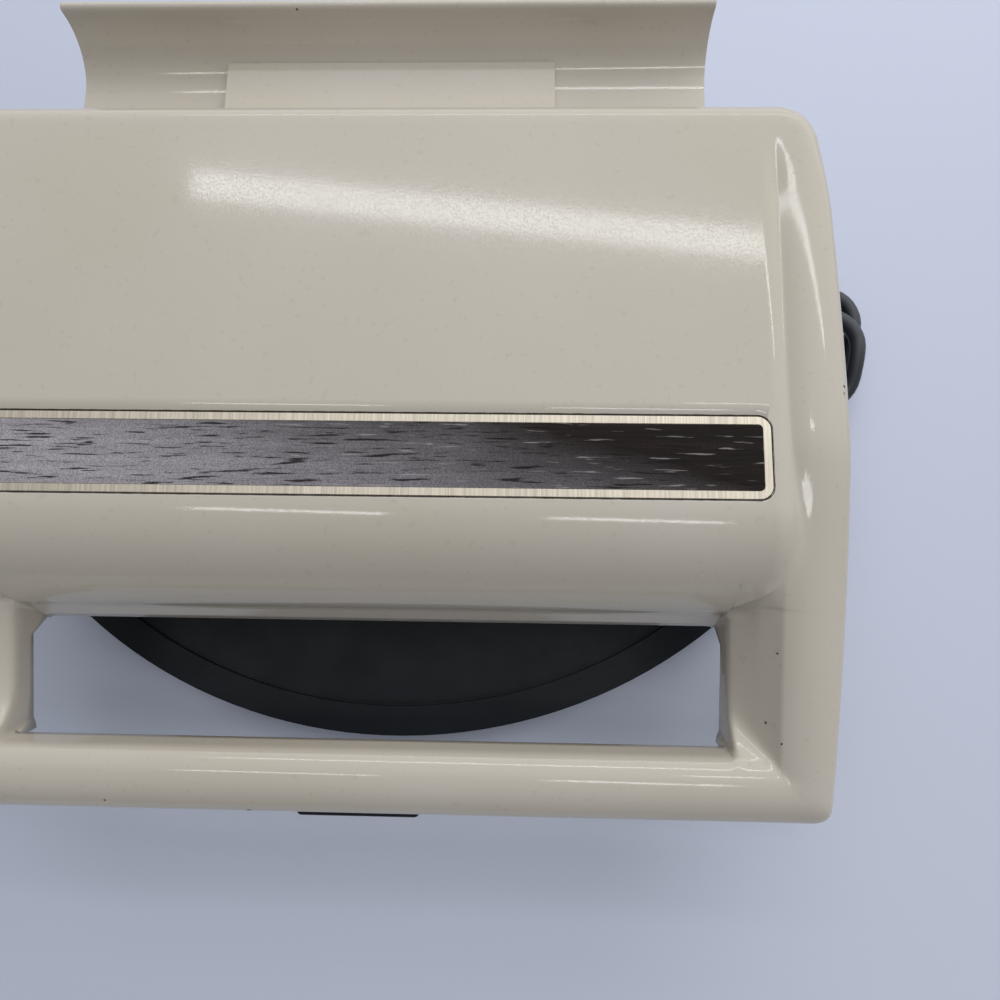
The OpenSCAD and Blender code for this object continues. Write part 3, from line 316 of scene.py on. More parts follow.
def enamel():
    """Almond gloss paint: faint mottle, a fine glitter, dust specks, painted shade in the seam round the badge and a
    few dark chips.
    """
    f = Finish("almond_enamel", linear(196, 186, 168), 0.12)
    f.shader.inputs["IOR"].default_value = 1.52
    mottle = f.ramp(f.noise(9, 3, 0.55), [(0.3, linear(199, 191, 176)), (0.7, linear(205, 198, 186))])
    colour = f.mix(f.ramp(f.noise(420, 1), [(0.66, 0.0), (0.74, 0.12)]), mottle, linear(150, 138, 118))
    specks = f.node("ShaderNodeTexVoronoi")
    specks.inputs["Scale"].default_value = 55
    f.link(f.place, specks.inputs["Vector"])
    dust = f.ramp(specks.outputs["Distance"], [(0.018, 1.0), (0.03, 0.0)])
    rare = f.ramp(f.noise(14, 1), [(0.6, 0.0), (0.62, 1.0)])
    colour = f.mix(f.maths("MULTIPLY", dust, rare), colour, linear(92, 80, 64))
    mask = None
    ragged = f.noise(900, 3, 0.7)
    for x, y, z, across, along in CHIPS:
        m = f.node("ShaderNodeMapping", vector_type="TEXTURE")
        m.inputs["Location"].default_value = (x * MM, y * MM, z * MM)
        m.inputs["Scale"].default_value = (across * MM, along * MM, 3 * MM)
        f.link(f.place, m.inputs["Vector"])
        length = f.node("ShaderNodeVectorMath", operation="LENGTH")
        f.link(m.outputs[0], length.inputs[0])
        near = f.maths("SUBTRACT", 1.25, f.maths("ADD", length.outputs["Value"], ragged))
        mask = near if mask is None else f.maths("MAXIMUM", mask, near)
    chip = f.ramp(mask, [(0.02, 0.0), (0.08, 1.0)])
    # painted shade: a dark line in the seam round the badge
    colour = f.mix(badge_seam(f), colour, linear(52, 43, 38))
    f.use(f.mix(chip, colour, linear(40, 34, 30)))
    gloss = f.ramp(f.noise(1300, 1), [(0.38, 0.045), (0.64, 0.125)])
    f.use(f.mix(chip, gloss, (0.6, 0.6, 0.6)), "Roughness")
    peel = f.bump(f.noise(1300, 0, 0.5), 0.0000025, 1.0)
    f.bump(f.maths("SUBTRACT", 1.0, chip), 0.0002, 0.6, peel)
    return f.mat


def moulded(name, colour, low, high, grain=1500, relief=0.00003, coat=0.0, shine=0.5):
    """Moulded resin or rubber: its colour wanders a little, and a fine grain breaks its sheen."""
    f = Finish(name, colour, low, coat=coat, specular=shine, coat_roughness=0.25)
    pale = tuple(min(1.0, c * 1.35 + 0.004) for c in colour)
    cloud = f.ramp(f.noise(16, 4, 0.6), [(0.35, colour), (0.75, pale)])
    f.use(f.mix(f.ramp(f.noise(240, 3, 0.7), [(0.62, 0.0), (0.75, 0.35)]), cloud, pale))
    f.use(f.ramp(f.noise(45, 4, 0.65), [(0.3, low), (0.7, high)]), "Roughness")
    f.bump(f.noise(grain, 2), relief, 0.8)
    return f.mat


def metal(name, colour, low, high, grain=(60, 2500, 2500), relief=0.00001, dull=0.0):
    """Metal with fine lines along one axis, and a dull film where dull is above 0."""
    f = Finish(name, colour, low, metallic=1.0)
    lines = f.noise(1.0, 3, 0.6, where=f.stretched(grain))
    dark = tuple(c * (1 - 0.45 * dull) * 0.86 for c in colour)
    f.use(f.ramp(lines, [(0.3, dark), (0.7, colour)]))
    f.use(f.ramp(f.noise(35, 4, 0.6), [(0.3, low), (0.7, high)]), "Roughness")
    f.bump(lines, relief, 0.6)
    return f.mat


def walnut():
    """Walnut print: brown streaks, fine grit and embossed dashes; a painted sheen pales the streaks to lavender
    toward the left and the front edge, and the dashes carry painted shadow and painted glints.
    """
    f = Finish("walnut_print", linear(60, 47, 43), 0.4, specular=0.1)
    streak = f.noise(1.0, 5, 0.65, where=f.stretched((9, 260, 60)))
    dark = f.ramp(streak, [(0.3, linear(14, 9, 8)), (0.5, linear(25, 18, 15)), (0.72, linear(42, 31, 27))])
    pale = f.ramp(streak, [(0.3, linear(148, 144, 149)), (0.7, linear(174, 171, 177))])
    # painted reflection: the print pales to lavender toward the left end and the front edge, like a sheen
    axes = f.axes()
    along = f.maths("ADD", f.maths("MULTIPLY", axes["X"], -5.6), 0.36)
    across = f.maths("MULTIPLY", f.maths("ADD", axes["Y"], 0.0275), -16.0)
    painted_sheen = f.maths("ADD", f.maths("ADD", along, across), f.maths("MULTIPLY", f.noise(30, 3), 0.25))
    colour = f.mix(f.ramp(painted_sheen, [(0.0, 0.0), (1.0, 1.0)]), dark, pale)
    dash = f.noise(1.0, 2, 0.5, where=f.stretched((85, 1150, 60), turn=(0, 0, 0.09)))
    # painted shadow in the low part of the embossed dashes, and a painted highlight on their high part
    pore_shadow = f.ramp(dash, [(0.34, 0.9), (0.42, 0.0)])
    glint = f.ramp(dash, [(0.64, 0.0), (0.71, 0.6)])
    grit = f.ramp(f.noise(2600, 1), [(0.35, 0.72), (0.65, 1.28)])
    colour = f.mix(1.0, colour, grit, "MULTIPLY")
    colour = f.mix(pore_shadow, colour, linear(18, 12, 12))
    f.use(f.mix(glint, colour, linear(170, 163, 168)))
    f.use(f.ramp(streak, [(0.3, 0.32), (0.7, 0.45)]), "Roughness")
    f.bump(dash, 0.00012, 0.8)
    return f.mat


ALMOND = enamel()
PHENOLIC = moulded("black_phenolic", linear(16, 22, 28), 0.4, 0.55, shine=0.22)
RUBBER = moulded("foot_rubber", linear(24, 24, 26), 0.6, 0.8)
CORD = moulded("cord_rubber", linear(30, 33, 39), 0.3, 0.42, grain=2600, relief=0.00001)
VINYL = moulded("plug_vinyl", linear(28, 30, 35), 0.35, 0.5)
STRAP = moulded("tie_strap", linear(34, 34, 37), 0.55, 0.7)
CERAMIC = moulded("glazed_ceramic", linear(222, 217, 204), 0.15, 0.25)
SLEEVE = moulded("lead_sleeve", linear(190, 182, 166), 0.6, 0.8)
NONSTICK = moulded("nonstick_coating", linear(48, 48, 50), 0.32, 0.5, grain=1900, relief=0.00004, coat=0.2)
BORDER = metal("badge_border", linear(206, 197, 180), 0.3, 0.42, grain=(1900, 40, 40), relief=0.00003, dull=0.5)
STEEL = metal("zinc_steel", linear(196, 196, 198), 0.25, 0.4, grain=(900, 900, 900))
HINGE = metal("hinge_steel", linear(170, 170, 172), 0.3, 0.45, grain=(900, 900, 90))
SHEATH = metal("heater_sheath", linear(128, 120, 114), 0.4, 0.6, dull=0.6)
SHEET = metal("reflector_sheet", linear(214, 214, 214), 0.2, 0.35)
BRASS = metal("plug_brass", linear(214, 188, 128), 0.22, 0.35, grain=(900, 90, 900))
WALNUT = walnut()


# ---------------------------------------------------------------- camera

CAMERA_AT = (0.0495, -0.078, 0.324)
TO_RIGHT = np.array([0.99954782, 0.01620124, -0.02533145])
DOWN = np.array([0.01179364, -0.98616309, -0.16535798])
AHEAD = np.array([-0.02765994, 0.16498446, -0.98590824])
camera = bpy.data.objects.new("camera", bpy.data.cameras.new("camera"))
camera.data.lens = 27.036
camera.data.sensor_width = 36.0
camera.data.clip_start = 0.01
turn = Matrix(np.column_stack([TO_RIGHT, -DOWN, -AHEAD]).tolist()).to_4x4()
camera.matrix_world = Matrix.Translation(CAMERA_AT) @ turn
bpy.context.scene.collection.objects.link(camera)
bpy.context.scene.camera = camera


# ---------------------------------------------------------------- mains lead, folded into a hank

CORD_D = 6.5
# chosen points: out of the housing and round to the hank, and from the hank to the plug
LEAD = [(88, 106, 26), (88, 116, 26), (88, 126, 26), (88, 134, 26), (89, 142, 24.5), (93, 151, 19), (101, 159, 12),
        (111, 163, 6.5), (122, 162, 4), (133, 156, 3.3), (144, 146, 3.3), (153, 134, 3.3), (160, 120, 3.3),
        (165, 105, 3.3), (168, 90, 3.3), (168.5, 74, 3.3)]
TAIL = [(163, -56, 16.3), (160, -68, 15), (157.6, -78, 11.5), (156.2, -87, 8.9), (156, -92.5, 8.5), (156, -96, 8.5),
        (156, -99, 8.5)]
# the hank's axis from its rear folds to its front ones, its layers, and its pinch in the tie
HANK_A, HANK_B = np.array([180.5, 55.0]), np.array([168.0, -42.0])
HANK_L = np.linalg.norm(HANK_B - HANK_A)
LAYERS, WAIST = (3.3, 9.8, 16.3), (4.45, 10.15, 15.85)
FOLD_R, RISE_L = 13.0, 26
INNER = 13  # the upper rear fold starts this far in front of the lower one
TIE_X, TIE_HALF, TIE_SIDE = 48.9, 15.5, 3.6


def hank_point(x, y, z):
    """Hank space to the object's: x runs along the hank from its rear fold, y outwards, z up."""
    along = (HANK_B - HANK_A) / HANK_L
    out = np.array([-along[1], along[0]])
    return np.column_stack([HANK_A + np.outer(x, along) + np.outer(y, out), z])


def hank_run(x0, x1, side, z0, z1, waist_z, rise=None):
    """One straight run at y = side, drawn in to the tie at mid length; its height eases z0 to z1 over rise."""
    x = np.linspace(x0, x1, 34)
    pinch = np.exp(-(((x - TIE_X) / TIE_HALF) ** 4))
    y = np.sign(side) * (abs(side) + (TIE_SIDE - abs(side)) * pinch)
    z = z0 + (z1 - z0) * step(*rise, x) if rise else np.full_like(x, z0)
    return hank_point(x, y, z + (waist_z - z) * pinch)


def hank_fold(cx, front, z, side0):
    """A half circle of the fold radius round (cx, 0), starting at y = side0 and ending at -side0."""
    a = np.radians(np.linspace(0, 180, 22)[1:-1])
    x = cx + FOLD_R * np.sin(a) * (1 if front else -1)
    return hank_point(x, side0 * FOLD_R * np.cos(a), np.full_like(a, z))


def mains_lead():
    """Out of the relief, down to the table, five runs and four folds of the hank, and up into the plug."""
    (low, mid, top), (low_waist, mid_waist, top_waist) = LAYERS, WAIST
    entry = hank_point([1.5, 12.0], [-FOLD_R, -FOLD_R], [low, low])
    leave = hank_point([HANK_L - 8, HANK_L + 3], [-FOLD_R, -10.4], [top, top])
    way = np.vstack([
        catmull(np.vstack([LEAD, entry]), 6)[:-7],
        hank_run(1.5, HANK_L, -FOLD_R, low, low, low_waist),
        hank_fold(HANK_L, True, low, -1),
        hank_run(HANK_L, 0, FOLD_R, mid, low, low_waist, rise=(0, RISE_L)),
        hank_fold(0, False, mid, 1),
        hank_run(0, HANK_L, -FOLD_R, mid, mid, mid_waist),
        hank_fold(HANK_L, True, mid, -1),
        hank_run(HANK_L, INNER, FOLD_R, top, mid, mid_waist, rise=(INNER, INNER + RISE_L)),
        hank_fold(INNER, False, top, 1),
        hank_run(INNER, HANK_L - 8, -FOLD_R, top, top, top_waist),
        catmull(np.vstack([leave, TAIL]), 6)[1:],
    ])
    return even(way, 2.6)


def lead_curve(path):
    """The lead as a round curve along path."""
    curve = bpy.data.curves.new("mains_lead", "CURVE")
    curve.dimensions = "3D"
    curve.bevel_depth = CORD_D / 2 * MM
    curve.bevel_resolution = 5
    curve.use_fill_caps = True
    line = curve.splines.new("POLY")
    line.points.add(len(path) - 1)
    line.points.foreach_set("co", np.column_stack([path * MM, np.ones(len(path))]).ravel())
    line.use_smooth = True
    curve.materials.append(CORD)
    obj = bpy.data.objects.new("mains_lead", curve)
    bpy.context.scene.collection.objects.link(obj)
    return obj


def plug_grip():
    """Moulded plug: rounded rectangles stacked along y, swelling from the lead's neck, with four finger ribs."""
    (x0, y0, z0), (x1, y1, z1) = np.array(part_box("plug_body")) / MM
    mx, mz, hx, hz = (x0 + x1) / 2, (z0 + z1) / 2, (x1 - x0) / 2, (z1 - z0) / 2
    t = np.concatenate([[0, 0.006, 0.02, 0.05], np.linspace(0.09, 0.6, 49), [0.66, 0.72, 0.8, 0.88, 0.96, 1.0]])
    full = 1 - 0.06 * (1 - step(0, 0.05, t)) ** 2
    count, start, span, deep = 4, 0.14, 0.42, 0.045
    wave = 0.5 - 0.5 * np.cos(2 * np.pi * count * (t - start) / span)
    ribs = deep * wave * ((t > start) & (t < start + span))
    neck = step(0.58, 1.0, t)
    wide, high = hx * (full - ribs - 0.5 * neck), hz * (full - ribs - 0.42 * neck)
    loops = [rounded_loop(-w, w, -h, h, 0.36 * min(w, h), 10, 3) for w, h in zip(wide, high)]
    skin = np.stack([
        np.column_stack([mx + loop[:, 0], np.full(len(loop), y0 + u * (y1 - y0)), mz + loop[:, 1]])
        for loop, u in zip(loops, t)
    ])
    patches = [patch(skin, wrap_v=True), cap(skin[0]), cap(skin[-1], flip=True)]
    return piece("plug_grip", patches, "base", VINYL, ["plug_body"])


# ---------------------------------------------------------------- lid

# Its front half dips about the line Y_MID; y is first that of the straight lid, and bend() turns it down.
LID_TOP, Y_MID, DIP, SOFT_BEND = 104.0, -23.9, np.radians(10.7), 6.0
HALF_W, SIDE_R = 150.0, 1345.8
# lines across the lid: front edge, bar's crest, hand opening's front and rear rim, rear edge
Y_FRONT, Y_BAR, Y_OPEN, Y_BODY, Y_REAR = -139.8, -129.65, -119.5, -77.0, 92.0
# the body's front roll starts at ROLL_Y and ends upright at LIP_Y, and its lip falls on to SKIRT below the top
ROLL_Y, ROLL_R, LIP_Y, SKIRT = -42.0, 31.0, -73.0, 44.0
BODY_X, HOLE_X = 124.5, 116.5
# side rails and bar: crest, crown radius, run of the crown, and how steeply they fall beyond it
RAIL_X, RAIL_R, RAIL_CROWN, RAIL_FALL = 138.0, 20.0, 8.7, 1.04
BAR_R, BAR_CROWN, BAR_FALL, BAR_SINK = 14.0, 4.36, 1.05, 0.15
FADE_Y = (58, 82)
HOLE = (-HOLE_X, HOLE_X, Y_OPEN, Y_BODY)
BADGE = (-124.3, 124.3, -40.3, -14.7)
# corners and rims
FRONT_CORNER, REAR_CORNER, HOLE_CORNER, BADGE_CORNER = 5.0, 14.0, 2.2, 4.3
FRONT_EDGE, REAR_EDGE, HOLE_EDGE, BADGE_SINK = 2.2, 7.0, 1.2, 0.8
WALL = 2.6
# distances from a rim of the grid's nearest lines
RIM_STEPS = np.array([0, 0.12, 0.45, 1.0, 1.75, 2.7, 3.8, 5.0, 7.0, 9.0, 11.5, 14.0])
# the walls' lower edges below the straight top: front with its notch, rails, and the line where the skirt begins
BAR_LOW, NOTCH_LOW, RAIL_LOW, SKIRT_LOW = 15.0, 11.7, 25.0, 33.4
NOTCH_X, Y_RAIL_LOW, Y_SKIRT_LOW = 20.0, -89.0, -84.2
TWIN = 0.002  # gap between the opening's side and the first column of points that has a rail
FAR = 1e3  # the depth of rails and bar where there are none


def stations(*marks):
    """Numbers from the first mark to the last; between two marks the gap is the first one's, at most."""
    out = []
    for (a, gap), (b, _) in zip(marks[:-1], marks[1:]):
        out.append(np.linspace(a, b, max(2, int(np.ceil((b - a) / gap - 1e-6)) + 1))[:-1])
    return np.append(np.concatenate(out), marks[-1][0])


def side_x(y):
    """Half width of the lid: a flat arc, widest at Y_MID."""
    return HALF_W - SIDE_R + np.sqrt(SIDE_R**2 - (y - Y_MID) ** 2)


def bend(y, depth):
    """Turns a point of the straight lid down by DIP ahead of Y_MID, over a soft bend: its new y and depth."""
    t = Y_MID - y
    root = np.sqrt(t * t + SOFT_BEND**2)
    ahead, turned = (t + root) / 2, (1 + t / root) / 2
    return (
        y + (1 - np.cos(DIP)) * ahead + depth * np.sin(DIP) * turned,
        np.sin(DIP) * ahead + depth * (1 - (1 - np.cos(DIP)) * turned),
    )


def squircle(p, q):
    """Moves a point of a square's quarter on to the disc's: (p, q) times max(p, q) over its length."""
    big = np.maximum(p, q)
    k = np.where(big > 0, big / np.maximum(np.hypot(p, q), 1e-9), 1.0)
    return p * k, q * k


def round_window(x, y, window, r, reach):
    """Pulls the corners of a window in the plan on to arcs of radius r; the pull dies out over reach."""
    x0, x1, y0, y1 = window
    bx, by = np.clip(x, x0, x1), np.clip(y, y0, y1)
    inside = (bx == x) & (by == y)
    edge = np.minimum.reduce([x - x0, x1 - x, y - y0, y1 - y])
    away = np.where(inside, edge, np.hypot(x - bx, y - by))
    hx, hy = (x1 - x0) / 2, (y1 - y0) / 2
    mx, my = (x0 + x1) / 2, (y0 + y1) / 2
    p = np.maximum(np.abs(bx - mx) - (hx - r), 0)
    q = np.maximum(np.abs(by - my) - (hy - r), 0)
    p2, q2 = squircle(p, q)
    fall = 1 - step(0, reach, away)
    both = (p > 0) & (q > 0)
    dx = np.where(both, (p2 - p) * np.sign(bx - mx), 0) * fall
    dy = np.where(both, (q2 - q) * np.sign(by - my), 0) * fall
    return x + dx, y + dy, np.where(inside, -away, away)


def union_drop(power, *drops):
    """Soft union of surfaces that lie below a plane: harmonic sum of their depths, crisper with a higher power."""
    return np.sum([1 / np.maximum(d, 1e-3) ** power for d in drops], axis=0) ** (-1 / power)


def lid_surface(x, y, hx, edge):
    """How far the straight lid's point (x, y) moves along y, and its depth below the top.

    The body is a flat top with a quarter-round roll in front; rails and bar are crowned and then fall in straight
    slopes. bend() turns rails and bar down, and a soft union takes whichever lies higher. Beyond the crests, the
    outer sides fall as the hypotenuse of the two crowns' arcs, plus the rim's own rounding in edge.
    """
    in_opening = np.abs(hx) < HOLE_X + TWIN / 2
    fade = 1 - step(*FADE_Y, y)
    roll = np.where(y >= ROLL_Y, 0, arc_drop(ROLL_R, ROLL_Y - y))
    roll = np.where(y < LIP_Y, ROLL_R + (LIP_Y - y) * (SKIRT - ROLL_R) / (LIP_Y - Y_BODY), roll)
    body = roll + 2.2 * (np.maximum(np.abs(x) - BODY_X, 0) / 6) ** 2 * fade
    t = np.maximum(RAIL_X - np.abs(x), 0)
    rail = (arc_drop(RAIL_R, np.minimum(t, RAIL_CROWN)) + RAIL_FALL * np.maximum(t - RAIL_CROWN, 0)) * fade
    rail = np.where(in_opening | (fade <= 0), FAR, rail)
    crown, slope = arc_drop(BAR_R, np.maximum(y - Y_BAR, 0)), BAR_CROWN + BAR_FALL * (y - Y_OPEN)
    bar = np.where(y < Y_OPEN, crown, slope) + BAR_SINK
    bar = np.where((y > Y_OPEN + 0.001) & in_opening | (y > Y_OPEN + 24), FAR, bar)
    outer = np.hypot(arc_drop(RAIL_R, np.abs(x) - RAIL_X), arc_drop(BAR_R, Y_BAR - y)) + edge
    loop_y, loop = bend(y, union_drop(5.0, rail, bar))
    loop = np.where(fade <= 0, FAR, loop)
    crisp_low = 2.4 * (1 - step(3, 14, np.minimum(body, loop)))
    crisp_at_opening = 5 * (1 - step(HOLE_X, 124, np.abs(x)))
    depth = union_drop(2.6 + crisp_low + crisp_at_opening, body, loop)
    on_loop = step(-2.5, 2.5, body - loop) * (loop < 0.9 * FAR)
    edge_y, edge_depth = bend(y, outer)
    rest_y, rest = bend(y, np.zeros_like(y))
    depth = depth + np.where(y < Y_MID + 30, edge_depth - rest, outer)
    return on_loop * (loop_y - y) + edge_y - rest_y, depth


def lid_grid():
    """Columns across and rows along the lid, close together where it bends."""
    half = np.concatenate([
        stations((0, 10), (NOTCH_X - 0.01, 1), (NOTCH_X, 8), (112, 1.2), (HOLE_X, 1)),
        stations((HOLE_X + TWIN, 0.9), (119.4, 1.4), (123.8, 0.25), (124.6, 0.9), (127, 0.6), (134, 1),
                 (136, 1))[:-1],
        HALF_W - RIM_STEPS[::-1],
    ])
    rows = np.concatenate([
        Y_FRONT + RIM_STEPS,
        stations((Y_FRONT + 15, 1.0), (-121, 0.75), (Y_OPEN, 1)),
        stations((Y_OPEN + 0.1, 0.9), (-112, 1.4), (-104, 3), (-92, 1.5), (Y_RAIL_LOW, 1.5), (-79, 0.8), (Y_BODY, 1)),
        stations((Y_BODY + 1, 1), (LIP_Y, 1))[:-1],
        ROLL_Y - ROLL_R * np.sin(np.radians(np.linspace(0, 90, 46)))[::-1],
        stations((-41.6, 0.7), (-39.9, 3), (-15.1, 0.4), (-14.3, 4), (55, 3), (78, 1))[:-1],
        Y_REAR - RIM_STEPS[::-1],
    ])
    return np.concatenate([-half[:0:-1], half]), np.unique(np.round(rows, 4))


def round_plan(hx, hy):
    """Pulls the lid's outer corners on to arcs, then bows its sides by side_x."""
    px, y = np.abs(hx), hy.copy()
    for r, front in ((REAR_CORNER, False), (FRONT_CORNER, True)):
        p = px - (HALF_W - r)
        q = (Y_FRONT + r) - y if front else y - (Y_REAR - r)
        here = (p > 0) & (q > 0)
        p2, q2 = squircle(np.maximum(p, 0), np.maximum(q, 0))
        px = np.where(here, HALF_W - r + p2, px)
        y = np.where(here, (Y_FRONT + r - q2) if front else (Y_REAR - r + q2), y)
    wide = side_x(y)
    bowed = np.where(px >= 136, wide - (HALF_W - px), 130 + (px - 130) * (wide - 144) / 6)
    return np.where(px <= 130, px, bowed) * np.sign(hx), y


def lid_shell():
    """Heights over a grid in the plan, its corners pulled round, and walls down from its rims."""
    c, v = lid_grid()
    hx, hy = np.meshgrid(c, v)
    x, y = round_plan(hx, hy)
    rim = np.minimum(HALF_W - np.abs(hx), np.minimum(hy - Y_FRONT, Y_REAR - hy))
    edge_r = FRONT_EDGE + (REAR_EDGE - FRONT_EDGE) * step(55, 85, hy)
    edge = edge_r - np.sqrt(edge_r**2 - np.maximum(edge_r - rim, 0) ** 2)
    shift, depth = lid_surface(x, y, hx, edge)
    x, y, off = round_window(x, y, HOLE, HOLE_CORNER, 4.0)
    near = np.where((off >= -0.01) & (hy < Y_BODY - 0.001), np.clip(HOLE_EDGE - off, 0, HOLE_EDGE), 0)
    depth += arc_drop(HOLE_EDGE, near)
    x, y, off = round_window(x, y, BADGE, BADGE_CORNER, 3.0)
    depth += BADGE_SINK * (1 - step(-0.12, 0.12, off))
    skin = np.stack([x, y + shift, LID_TOP - depth], -1)
    mx, my = (hx[1:, 1:] + hx[:-1, :-1]) / 2, (hy[1:, 1:] + hy[:-1, :-1]) / 2
    keep = ~((np.abs(mx) < HOLE_X + TWIN) & (my > Y_OPEN) & (my < Y_BODY))

    def wall(index, low, rows=5):
        """From a rim to its lower edge, whose depth below the straight lid's top is low."""
        top = skin[index]
        y_low, z_low = bend(y[index], low)
        level = y[index] > Y_SKIRT_LOW
        y_low = np.where(level, np.maximum(top[:, 1], Y_BODY), y_low)
        z_low = np.where(level, SKIRT, z_low)
        base = np.column_stack([top[:, 0], y_low, LID_TOP - z_low])
        t = np.linspace(0, 1, rows)[:, None, None]
        return top[None] * (1 - t) + base[None] * t

    def rail_low(y, y_bar, y_rail):
        """The rails' lower edge: the bar's up to y_bar, down to the rails' own at y_rail, then into the skirt."""
        return np.interp(y, [y_bar, y_rail, Y_RAIL_LOW, Y_SKIRT_LOW], [BAR_LOW, RAIL_LOW, RAIL_LOW, SKIRT_LOW])

    n, m = hx.shape
    i, j = np.arange(n), np.arange(m)
    ring = (
        np.concatenate([np.zeros(m, int), i[1:], np.full(m - 1, n - 1), i[-2:0:-1]]),
        np.concatenate([j, np.full(n - 1, m - 1), j[-2::-1], np.zeros(n - 2, int)]),
    )
    in_notch = (hy[ring] < Y_FRONT + 0.01) & (np.abs(hx[ring]) < NOTCH_X - 1e-4)
    low = np.where(in_notch, NOTCH_LOW, rail_low(hy[ring], Y_OPEN - 5, Y_OPEN))
    walls = [patch(wall(ring, low), wrap_v=True)]
    i0, i1 = int(np.argmin(np.abs(v - Y_OPEN))), int(np.argmin(np.abs(v - Y_BODY)))
    j0, j1 = (int(np.argmin(np.abs(c - side * (HOLE_X + TWIN)))) for side in (-1, 1))
    across, along = np.arange(j0, j1 + 1), np.arange(i0, i1 + 1)
    walls.append(patch(wall((np.full(len(across), i0), across), np.full(len(across), BAR_LOW)), flip=True))
    low = rail_low(v[along], Y_OPEN, Y_OPEN + 0.1)
    for k in (j0, j1):
        walls.append(patch(wall((along, np.full(len(along), k)), low), flip=k == j1))
    skins = [patch(skin, flip=True, keep=keep)] + walls
    thicken(piece("lid_shell_skin", skins, "lid", ALMOND, ["lid_shell"], closed=False, sharp=56), WALL)


def handle_tab():
    """Black tab in the notch of the handle's front: a rounded rectangle, drawn in at its top and bottom rims."""
    x0, x1, y0, y1, corner = -21.5, 18.5, -138.9, -133.6, 2.0
    insets, heights = (0.7, 0.15, 0, 0, 0.3, 1.2), (68.0, 68.3, 68.9, 71.3, 71.9, 72.1)
    skin = rings([rounded_loop(x0 + i, x1 - i, y0 + i, y1 - i, corner - i) for i in insets], heights)
    piece("handle_tab", [patch(skin, wrap_v=True), cap(skin[0], flip=True), cap(skin[-1])], "lid", PHENOLIC)


# ---------------------------------------------------------------- carried-over nodes

PAINTS = (
    (ALMOND, ["lower_housing", "lid_shell"]),
    (PHENOLIC, ["base_pan", "lid_frame", "handle_liner"]),
    (RUBBER, ["rubber_feet"]),
    (NONSTICK, ["lower_plate", "upper_plate"]),
    (STEEL, ["lower_plate_screws", "upper_plate_screws", "housing_screws", "inner_trim_screws", "lug_screws"]),
    (STEEL, ["lower_reflector_screws", "upper_reflector_screws"]),
    (STEEL, ["lower_element_clips", "upper_element_clips", "pin_clips"]),
    (SHEATH, ["lower_element", "upper_element"]),
    (SHEET, ["lower_reflector", "upper_reflector"]),
    (CERAMIC, ["thermostat", "terminal_block"]),
    (SLEEVE, ["base_leads", "lid_leads"]),
    (HINGE, ["hinge_pin", "lid_hinge_lugs"]),
    (BORDER, ["badge_plate"]),
    (WALNUT, ["badge_inlay"]),
    (CORD, ["strain_relief"]),
    (STRAP, ["cord_tie"]),
    (VINYL, ["plug_body"]),
    (BRASS, ["plug_blades"]),
)
for paint, names in PAINTS:
    for node in names:
        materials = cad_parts[node].data.materials
        materials.clear()
        materials.append(paint)


# ---------------------------------------------------------------- pieces

plug = plug_grip()
lead = lead_curve(mains_lead())
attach(lead, "base")
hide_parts("cord_lead", "cord_hank", "cord_tail")

lid_shell()
handle_tab()


# ---------------------------------------------------------------- floor and light

FLOOR_HALF = 30.0
TUBE_Z, TUBE_GLOW, TUBE_COLOUR = 1.8, 7.0, (0.97, 0.99, 1.0)
# ceiling tubes: both ends in the plan, and width, in metres
TUBES = {
    "tube_rear": ((-0.89, 1.137), (1.7, 0.84), 0.085),
    "tube_front_left": ((-0.805, -0.087), (-0.30, -0.205), 0.085),
    "tube_front_right": ((0.125, -0.284), (0.584, -0.384), 0.085),
    "tube_middle": ((0.47, 0.35), (0.66, 0.32), 0.07),
    "tube_far": ((-1.4, 2.75), (1.6, 2.45), 0.12),
}


def tabletop():
    """Matt pale table with painted light: its colour a little lighter to the front and darker to the rear."""
    f = Finish("tabletop", linear(212, 218, 236), 0.5)
    # painted light: the colour lightens toward the front and darkens toward the rear
    reach = f.maths("ADD", f.axes()["Y"], f.maths("MULTIPLY", f.noise(3, 3), 0.06))
    f.use(f.ramp(f.maths("ADD", reach, 0.5), [(0.28, linear(211, 218, 235)), (0.62, linear(206, 213, 233))]))
    return f.mat


def area_lamp(name, length, width, colour):
    """A rectangular lamp without power yet."""
    light = bpy.data.lights.new(name, "AREA")
    light.shape = "RECTANGLE"
    light.size, light.size_y = length, width
    light.color = colour
    lamp = bpy.data.objects.new(name, light)
    bpy.context.scene.collection.objects.link(lamp)
    return lamp


def tube_lamp(name, a, b, width):
    """A ceiling tube from a to b in the plan, facing straight down; its power follows from its area."""
    a, b = np.array(a), np.array(b)
    length = float(np.linalg.norm(b - a))
    along = (b - a) / length
    lamp = area_lamp(name, length, width, TUBE_COLOUR)
    lamp.data.energy = TUBE_GLOW * np.pi * lamp.data.size * width
    turned = Matrix([[along[0], -along[1], 0], [along[1], along[0], 0], [0, 0, 1]]).to_4x4()
    lamp.matrix_world = Matrix.Translation((*((a + b) / 2), TUBE_Z)) @ turned


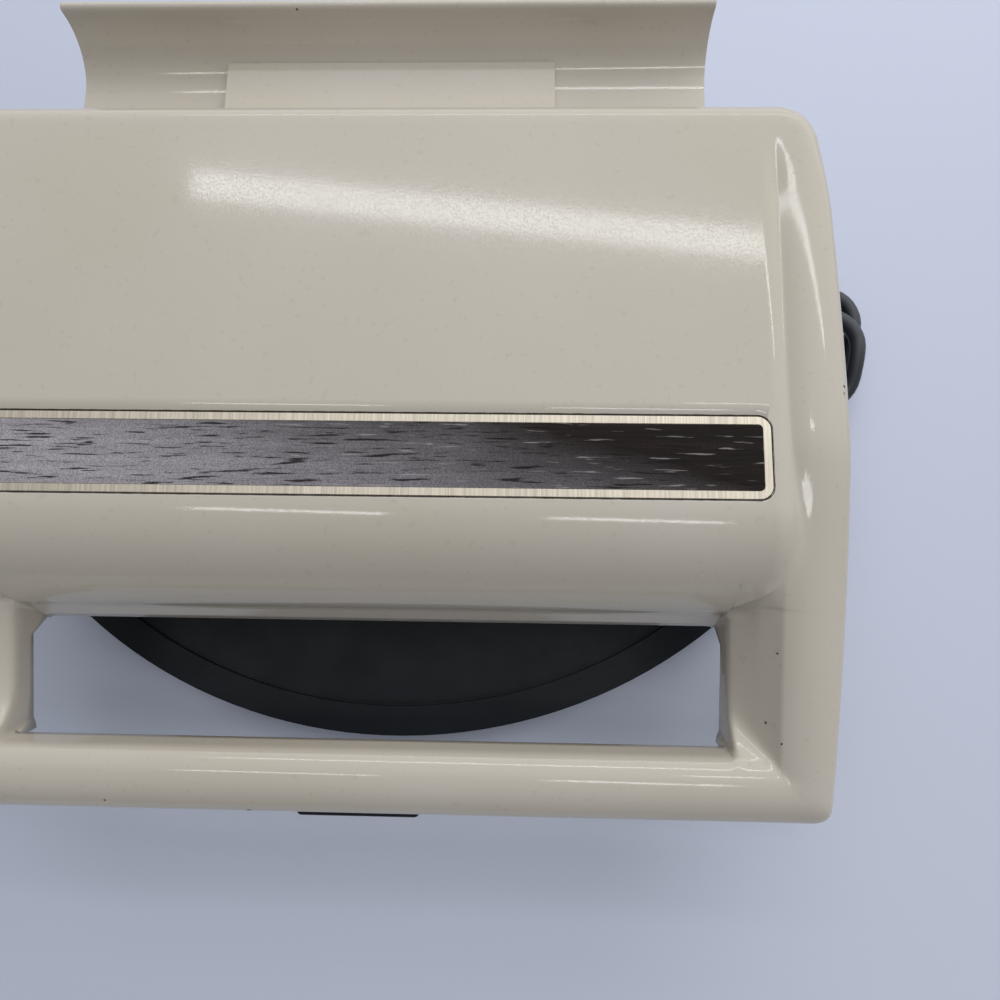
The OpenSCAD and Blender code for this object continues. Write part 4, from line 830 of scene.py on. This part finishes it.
def room_light():
    """A dim room, brighter overhead, to the rear and to the right, with a ceiling that only gloss shows."""
    world = bpy.data.worlds.new("studio")
    bpy.context.scene.world = world
    world.use_nodes = True
    nodes, links = world.node_tree.nodes, world.node_tree.links

    def mapped(value, low, high, dim, bright):
        """Takes a direction's part from low to high on to dim to bright."""
        m = nodes.new("ShaderNodeMapRange")
        for socket, number in zip(("From Min", "From Max", "To Min", "To Max"), (low, high, dim, bright)):
            m.inputs[socket].default_value = number
        links.new(value, m.inputs["Value"])
        return m.outputs[0]

    def joined(operation, a, b):
        """One sum of two of the world's values."""
        m = nodes.new("ShaderNodeMath")
        m.operation = operation
        links.new(a, m.inputs[0])
        links.new(b, m.inputs[1])
        return m.outputs[0]

    compass = nodes.new("ShaderNodeSeparateXYZ")
    links.new(nodes.new("ShaderNodeTexCoord").outputs["Generated"], compass.inputs[0])
    x, y, z = compass.outputs
    rays = nodes.new("ShaderNodeLightPath").outputs
    shade = joined("MULTIPLY", mapped(z, -0.1, 1.0, 0.42, 1.0), mapped(x, -1.0, 0.4, 0.1, 1.0))
    shade = joined("MULTIPLY", shade, mapped(y, -0.8, 0.2, 0.52, 1.0))
    ceiling = joined("MULTIPLY", mapped(y, -0.1, 0.65, 0.0, 1.2), rays["Is Glossy Ray"])
    backdrop = nodes.new("ShaderNodeMix")
    backdrop.inputs["B"].default_value = 0.74
    links.new(rays["Is Camera Ray"], backdrop.inputs["Factor"])
    links.new(joined("ADD", shade, ceiling), backdrop.inputs["A"])
    sky = nodes["Background"]
    sky.inputs["Color"].default_value = (0.96, 0.97, 1.0, 1)
    links.new(backdrop.outputs["Result"], sky.inputs["Strength"])


floor = bpy.data.objects.new("floor", bpy.data.meshes.new("floor"))
corners = [(x * FLOOR_HALF, y * FLOOR_HALF, 0) for x, y in ((-1, -1), (1, -1), (1, 1), (-1, 1))]
floor.data.from_pydata(corners, [], [(0, 1, 2, 3)])
bpy.context.scene.collection.objects.link(floor)
floor.data.materials.append(tabletop())
room_light()
for name, (a, b, width) in TUBES.items():
    tube_lamp(name, a, b, width)
fill = area_lamp("rear_fill", 0.9, 0.35, (1.0, 0.98, 0.94))
fill.data.energy = 2.6
fill.rotation_euler = (-0.85, 0, -0.4)
fill.location = (0.35, 0.75, 0.65)
fill.visible_glossy = False
bpy.context.scene.view_settings.view_transform = "Standard"
